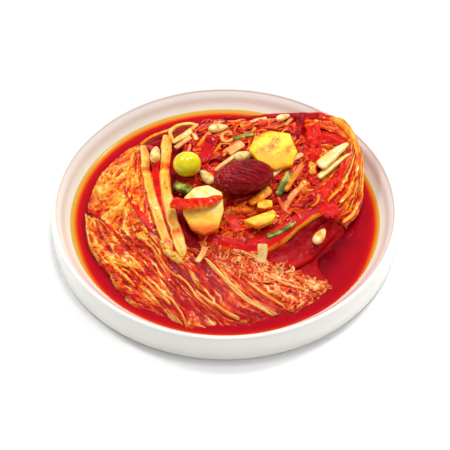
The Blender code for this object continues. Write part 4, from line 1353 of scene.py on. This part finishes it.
def build_jujube():
    """A dried red date: folds and cracks all over its dark skin, with pale pink specks at the left that are
    partly crust and partly painted glints.
    """
    mesh, (x, y, z) = ball("jujube_fruit", 6)
    around = np.arctan2(z, y)
    warp = 0.5 * rough_noise(x * 3, around * 1.2, 1.2, 3)
    folds = rough_noise(np.cos(around + warp) * 2.6 + x, np.sin(around + warp) * 2.6 + x * 2.0, 1.0, 5)
    cracks = cell_walls(np.cos(around) * 2.8 + x * 2.6, np.sin(around) * 2.8 + x * 1.4 + warp, 7)
    waist = np.sqrt(np.clip(1 - x * x, 0, 1))
    swell = 1 + waist * (0.08 * folds - 0.06 * cracks)
    length, width = turned(x * JUJUBE[0], y * JUJUBE[1] * swell, JUJUBE_TURN)
    place_points(mesh, length, width, z * JUJUBE[2] * swell)
    moved_onto(mesh, "jujube")
    paint(mesh, 0.45 + 0.3 * folds - 0.2 * cracks)
    skin = Finish("jujube skin", roughness=0.4, coat=0.35, coat_roughness=0.05, specular=0.05)
    grainy = skin.noise(1.2, 4)
    value = skin.sum(skin.paleness(), skin.times(skin.centred(grainy), 0.5))
    reds = ((0.1, (92, 2, 8)), (0.45, (138, 5, 17)), (0.8, (162, 10, 24)), (1.0, (178, 24, 32)))
    colour = skin.ramp(value, *reds)
    # Pale pink specks on the left side: partly crust, partly painted glints
    left = skin.band(skin.along("X"), 8 * MM, -4 * MM)
    crust_and_glints = skin.times(skin.band(skin.noise(1.3, 4), 0.52, 0.62), left)
    skin.colour(skin.mix(skin.times(crust_and_glints, 0.75), colour, (206, 96, 92)))
    skin.bump(grainy, strength=0.5, distance=0.5, film=2.4)
    finished("jujube_fruit", mesh, skin.material, ["jujube"])


def build_ginkgo():
    mesh, (x, y, z) = ball("ginkgo_kernel", 5)
    swell = 1 + 0.02 * rough_noise(x, y + z, 0.8, 2)
    place_points(mesh, *(axis * half * swell for axis, half in zip((x, y, z), GINKGO)))
    moved_onto(mesh, "ginkgo_nut")
    skin = Finish("ginkgo kernel", roughness=0.22, coat=0.6, coat_roughness=0.06, subsurface=0.25)
    yellows = ((0.35, (212, 196, 6)), (0.55, (236, 220, 12)), (0.75, (244, 232, 48)))
    skin.colour(skin.ramp(skin.noise(7, 3), *yellows))
    skin.bump(skin.noise(1.6, 3), strength=0.12, distance=0.3)
    finished("ginkgo_kernel", mesh, skin.material, ["ginkgo_nut"])


# Chestnut slices and chips: outline round the middle, thickness and lean in degrees
CHESTNUTS = {
    "chestnut_back": (
        ((-13.8, 0.5), (-10.5, 9), (-2, 12.6), (9.5, 11), (14, 0), (11, -8.5), (1.5, -12.2), (-7, -8.5)),
        4.2, 22,
    ),
    "chestnut_front": (
        (
            (-11, 7.5), (-5.2, 13.4), (2.3, 14.8), (10.3, 10.4), (11.3, 0), (8, -11.4), (0.6, -14.6),
            (-7, -11), (-11.5, -1.9),
        ),
        4.2, 24,
    ),
    "chestnut_wedge": (
        ((-9.8, -1.4), (-2, -5.4), (6, -1.6), (9, 3), (7, 5.6), (1.2, 3.4), (-6.5, 0.6)), 4.0, 18,
    ),
    "chestnut_chip": (((-4.4, -2.2), (0.6, -3.2), (4.4, -0.8), (4.0, 2.8), (-1, 3.4), (-4.2, 1.4)), 3.0, 16),
}
CHESTNUT_ROUND = 0.7
YELLOW_FLESH = ((0.36, (216, 112, 4)), (0.44, (238, 168, 4)), (0.52, (248, 204, 6)), (0.66, (252, 222, 56)))
# Flesh of the front slice: painted light, paler cream as if lit from above
LIT_FLESH = (
    (0.34, (236, 164, 44)), (0.43, (248, 204, 90)), (0.52, (252, 230, 140)), (0.68, (255, 244, 190)),
)


def chestnut_finish(name, stops, stain_low, stain_high):
    """Cut face of a chestnut, stained orange-red by the sauce towards its lower edge."""
    made = Finish(name, roughness=0.34, coat=0.3, coat_roughness=0.08, subsurface=0.12, specular=0.3)
    flesh = made.ramp(made.sum(made.noise(5, 5), made.times(made.centred(made.noise(1.2, 3)), 0.25)), *stops)
    dotted = made.times(made.band(made.spots(3.1), 0.17, 0.1), made.band(made.noise(6), 0.46, 0.55))
    flesh = made.mix(made.times(dotted, 0.8), flesh, (196, 70, 16))
    ragged = made.sum(made.along("Y"), made.times(made.centred(made.noise(6)), 7 * MM))
    warm = made.band(ragged, stain_high + 2.4 * (stain_high - stain_low), stain_high)
    flesh = made.mix(made.times(warm, 0.8), flesh, (248, 186, 18))
    stain = made.mix(made.band(ragged, stain_high, stain_low), flesh, (234, 104, 4))
    deepest = made.band(ragged, stain_low, 1.6 * stain_low - 0.6 * stain_high)
    made.colour(made.mix(deepest, stain, (200, 24, 4)))
    made.bump(made.noise(0.9, 4), strength=0.4, distance=0.3, film=4.0)
    return made.material


def build_chestnuts():
    for node, (outline, thickness, lean) in CHESTNUTS.items():
        bm = bmesh.new()
        rim = [bm.verts.new((x * MM, y * MM, 0)) for x, y in outline]
        made = bmesh.ops.extrude_face_region(bm, geom=[bm.faces.new(rim)], use_keep_orig=True)
        top = [item for item in made["geom"] if isinstance(item, bmesh.types.BMVert)]
        bmesh.ops.translate(bm, verts=top, vec=(0, 0, thickness * MM))
        bmesh.ops.bevel(
            bm, geom=list(bm.edges), offset=CHESTNUT_ROUND * MM, offset_type="OFFSET", segments=4,
            profile=0.5, affect="EDGES", material=-1, clamp_overlap=True,
        )
        bmesh.ops.triangulate(bm, faces=[face for face in bm.faces if len(face.verts) > 4])
        bmesh.ops.rotate(bm, verts=bm.verts, matrix=Matrix.Rotation(math.radians(lean), 3, "X"))
        mesh = solid_mesh(node + "_slice", bm)
        moved_onto(mesh, node)
        low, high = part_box(node)
        near = low[1] + (high[1] - low[1]) * (-0.05 if node == "chestnut_back" else 0.06)
        far = near + 0.2 * (high[1] - low[1])
        # The front slice's paler flesh is painted light: its back half looks lit and only its front turns
        # golden
        colours = LIT_FLESH if node == "chestnut_front" else YELLOW_FLESH
        flesh = chestnut_finish(node + " flesh", colours, near, far)
        finished(node + "_slice", mesh, flesh, [node])
        mesh.set_sharp_from_angle(angle=math.radians(40))


# Pine nuts: turn in degrees and size as a share
PINE_NUTS = {
    "pine_nut_rib": (86, 1.0), "pine_nut_back": (12, 0.95), "pine_nut_middle": (14, 1.0),
    "pine_nut_by_ginkgo": (125, 1.0), "pine_nut_pool": (62, 1.0), "pine_nut_corner": (25, 0.7),
}
PINE_NUT_LENGTH = 12.4
PINE_NUT_WIDTH = 6.0


def build_pine_nuts():
    skin = Finish("pine nut", roughness=0.34, coat=0.6, coat_roughness=0.1, subsurface=0.2)
    creams = ((0.32, (228, 152, 56)), (0.48, (244, 212, 124)), (0.7, (252, 238, 182)))
    skin.colour(skin.ramp(skin.noise(4, 4), *creams))
    skin.bump(skin.noise(1.2, 4), strength=0.25, distance=0.3)
    for node, (turn, size) in PINE_NUTS.items():
        mesh, (x, y, z) = ball(node + "_kernel", 4)
        slim = 1 - 0.3 * x
        groove = 1 - 0.06 * np.exp(-((y / 0.2) ** 2)) * (z > 0)
        length, width = x * size * PINE_NUT_LENGTH / 2, y * size * PINE_NUT_WIDTH / 2 * slim
        length, width = turned(length, width, turn)
        place_points(mesh, length, width, z * size * PINE_NUT_WIDTH * 0.42 * slim * groove)
        moved_onto(mesh, node)
        finished(node + "_kernel", mesh, skin.material, [node])


# Green onion, chilli and radish: path, widths at both ends and thickness. Tones run from red to pale
ONIONS = {
    "onion_by_ginkgo": (((-29, 4.6), (-24, 2.4), (-19.4, -0.4)), (6.4, 5.6), 4.2),
    "onion_back": (((4.5, 40.5), (11.5, 41.5), (17, 43)), (3.6, 3.0), 2.6),
    "onion_middle": (((37, 11.5), (34, 5), (30, -3)), (5.0, 3.8), 2.6),
    "onion_front": (((23.5, -28.2), (31.5, -23.4), (40, -17)), (3.6, 2.6), 2.4),
    "onion_heart": (((57, 21), (60, 24), (63, 28)), (3.0, 2.2), 2.2),
}
CHILLIES = {
    "chilli_wedge": (((-7, 44), (-9.6, 34), (-13, 22)), (8.5, 7.5), 3.4),
    "chilli_strip": (((-30.5, -13.6), (-21, -16.4), (-10, -15.6), (-1.5, -11.2)), (9.0, 5.0), 3.2),
    "chilli_long": (((3.5, -10.6), (10, -11.6), (16.4, -10)), (3.8, 3.2), 2.8),
    "chilli_short": (((1.6, -14.5), (4.4, -19.5), (7, -26)), (7.0, 4.6), 3.0),
    "chilli_back": (((45, 54), (43.5, 45), (42, 35)), (4.4, 3.4), 2.8),
}
CHILLI_TONES = {
    "chilli_wedge": 0.34, "chilli_strip": 0.62, "chilli_long": 0.8, "chilli_short": 0.66, "chilli_back": 0.2,
}
RADISHES = {
    "radish_back": (((1.5, 29), (6, 32.6), (10.6, 36)), (6.0, 5.0), 2.4),
    "radish_right": (((32.3, -10.8), (38.7, -2.2), (45, 5.4)), (3.4, 2.8), 2.2),
    "radish_front": (((20.9, -35), (20.9, -38.5), (19.8, -42.5)), (5.8, 5.0), 2.2),
    "radish_left": (((-11, -34), (-13, -38), (-16, -43)), (3.6, 3.0), 2.2),
}
# Where the red chilli strip leaves the chestnut slice under it
SLICE_EDGE = (-18, -15)
RADISH_TONES = {"radish_back": 0.85, "radish_right": 0.72, "radish_front": 1.0, "radish_left": 0.86}


def cut_relief(tone):
    """Cut pepper flesh: seedy lumps inside a smoother, more orange border."""

    def relief(at):
        lumps = rough_noise(at.along * 1.2, at.x * 0.7 + at.y, 2.2, 9)
        wave = rough_noise(at.along, at.side * 2, 5, 3)
        border = ease(np.abs(at.side), 0.75, 1.0)
        return 0.6 * lumps + 0.3 * wave, tone + 0.34 * lumps + 0.15 * wave + 0.25 * border

    return relief


def build_cut_vegetables():
    green = Finish("green onion", roughness=0.34, coat=0.8, coat_roughness=0.06, subsurface=0.1, specular=0.2)
    greens = ((0.42, (70, 76, 14)), (0.58, (122, 126, 30)), (0.74, (198, 186, 88)))
    value = green.sum(green.noise(5, 4), green.times(green.paleness(), 0.2))
    green.colour(green.ramp(value, *greens))
    green.bump(green.noise(1.0, 3), strength=0.3, distance=0.3)
    sticks(ONIONS, "_cut", green.material, "onion", ribbed(0.5, 0.2, 0.4), 0.3)
    flesh = leaf_finish("red chilli", SMOOTH_STOPS, 1.4, 0.25, wet=0.45)
    laid = Ground(["cabbage", "stuffing", "red_leaf", "dark_leaf", "chestnut_front"], blur=3)
    climbing = Ground(["cabbage", "stuffing", "chestnut_front"], blur=7)
    edge_x, edge_y = SLICE_EDGE

    def bridging(x, y):
        """The chestnut slice's top, and level over the gap between its left edge and the rib."""
        return np.maximum(climbing(x, y), climbing(edge_x, edge_y) - 0.15 * np.maximum(edge_x - x, 0))

    for node, shape in CHILLIES.items():
        over = bridging if node == "chilli_strip" else bed
        cut = {"over": over, "twist": 0.4, "blunt": (0.1, 0.3), "wobble": 0.15}
        sticks({node: shape}, "_cut", flesh, "chilli", cut_relief(CHILLI_TONES[node]), 0.4, **cut)
    root = leaf_finish("stained radish", ROOT_STOPS, 1.2, 0.2, specks=0.4, wet=0.8)
    reliefs = {node: shredded(tone, 0.3) for node, tone in RADISH_TONES.items()}
    sticks(RADISHES, "_cut", root, "radish", reliefs, 0.3, over=laid, blunt=0.12, wobble=0.2)
    mesh, (x, y, z) = ball("pepper_round_flesh", 5)
    folds = rough_noise(x * 2.4, y * 2.4 + z, 1.0, 12)
    swell = 1 + 0.24 * folds
    place_points(mesh, *(axis * half * swell for axis, half in zip((x, y, z), PEPPER)))
    moved_onto(mesh, "pepper_round")
    paint(mesh, 0.6 + 0.3 * folds)
    clear = leaf_finish("clear red pepper", SAUCE_STOPS, 1.6, 0.4, specks=0.1, wet=0.6)
    finished("pepper_round_flesh", mesh, clear, ["pepper_round"])


# ---------------------------------------------------------------- the studio


# Lengths from here on are metres, but for the camera's lens
CAMERA_ELEVATION = math.radians(47.17)
CAMERA_DISTANCE = 1.0
CAMERA_AIM = Vector((0, -7.4 * MM, 9.3 * MM))
CAMERA_LENS = 139.0
FLOOR_REACH = 3
SKY_STRENGTH = 0.2
LIGHT_AIM = Vector((0, 0, 0.02))
# Soft square lights: name, place, size and power in watts, and whether wet food mirrors it
LIGHTS = (
    ("overhead", (0.1, 0.02, 1.1), 0.9, 3.5, False),
    ("right fill", (0.9, -0.4, 0.25), 0.4, 2.4, False),
    ("left fill", (-0.9, -0.35, 0.2), 0.4, 1.6, False),
    ("key", (0.42, 0.42, 0.92), 0.24, 2.6, False),
    ("key glint", (0.39, 0.39, 0.855), 0.15, 2.6, True),
    ("side", (-0.5, 0.32, 0.8), 0.17, 0.8, False),
    ("side glint", (-0.46, 0.295, 0.74), 0.13, 1.9, True),
    ("top glint", (0.0, 0.06, 0.95), 0.13, 1.9, True),
)


def build_camera():
    back = Vector((0, -math.cos(CAMERA_ELEVATION), math.sin(CAMERA_ELEVATION)))
    data = bpy.data.cameras.new("camera")
    data.lens = CAMERA_LENS
    camera = linked(bpy.data.objects.new("camera", data))
    camera.location = CAMERA_AIM + back * CAMERA_DISTANCE
    camera.rotation_euler = (math.pi / 2 - CAMERA_ELEVATION, 0, 0)
    bpy.context.scene.camera = camera


def build_light(name, place, size, power, mirrored):
    data = bpy.data.lights.new(name, "AREA")
    data.size = size
    data.energy = power
    light = linked(bpy.data.objects.new(name, data))
    light.visible_glossy = mirrored
    light.location = place
    light.rotation_euler = (LIGHT_AIM - Vector(place)).to_track_quat("-Z", "Y").to_euler()


def build_studio():
    bm = bmesh.new()
    bmesh.ops.create_grid(bm, x_segments=1, y_segments=1, size=FLOOR_REACH)
    mesh = mesh_of("floor", bm)
    floor = linked(bpy.data.objects.new("floor", mesh))
    paper = Finish("pale floor", roughness=0.9, specular=0.1)
    paper.colour(paper.mix(paper.noise(400, 1), (250, 250, 250), (253, 253, 253)))
    mesh.materials.append(paper.material)

    world = bpy.data.worlds.new("studio")
    world.use_nodes = True
    sky = world.node_tree.nodes["Background"]
    sky.inputs["Color"].default_value = (1, 1, 1, 1)
    sky.inputs["Strength"].default_value = SKY_STRENGTH
    bpy.context.scene.world = world
    for light in LIGHTS:
        build_light(*light)
    bpy.context.scene.view_settings.view_transform = "Standard"


build_camera()
build_studio()
build_dish()
build_brine()
build_core(leaf_finish("soaked core", CORE_STOPS, 1.2, specks=0.1, soak=0.6, wet=0.0))
build_folded_leaves()
build_ribs()
build_smooth_leaves()
build_heart()
build_seasoning()
build_jujube()
build_ginkgo()
build_chestnuts()
build_pine_nuts()
build_cut_vegetables()
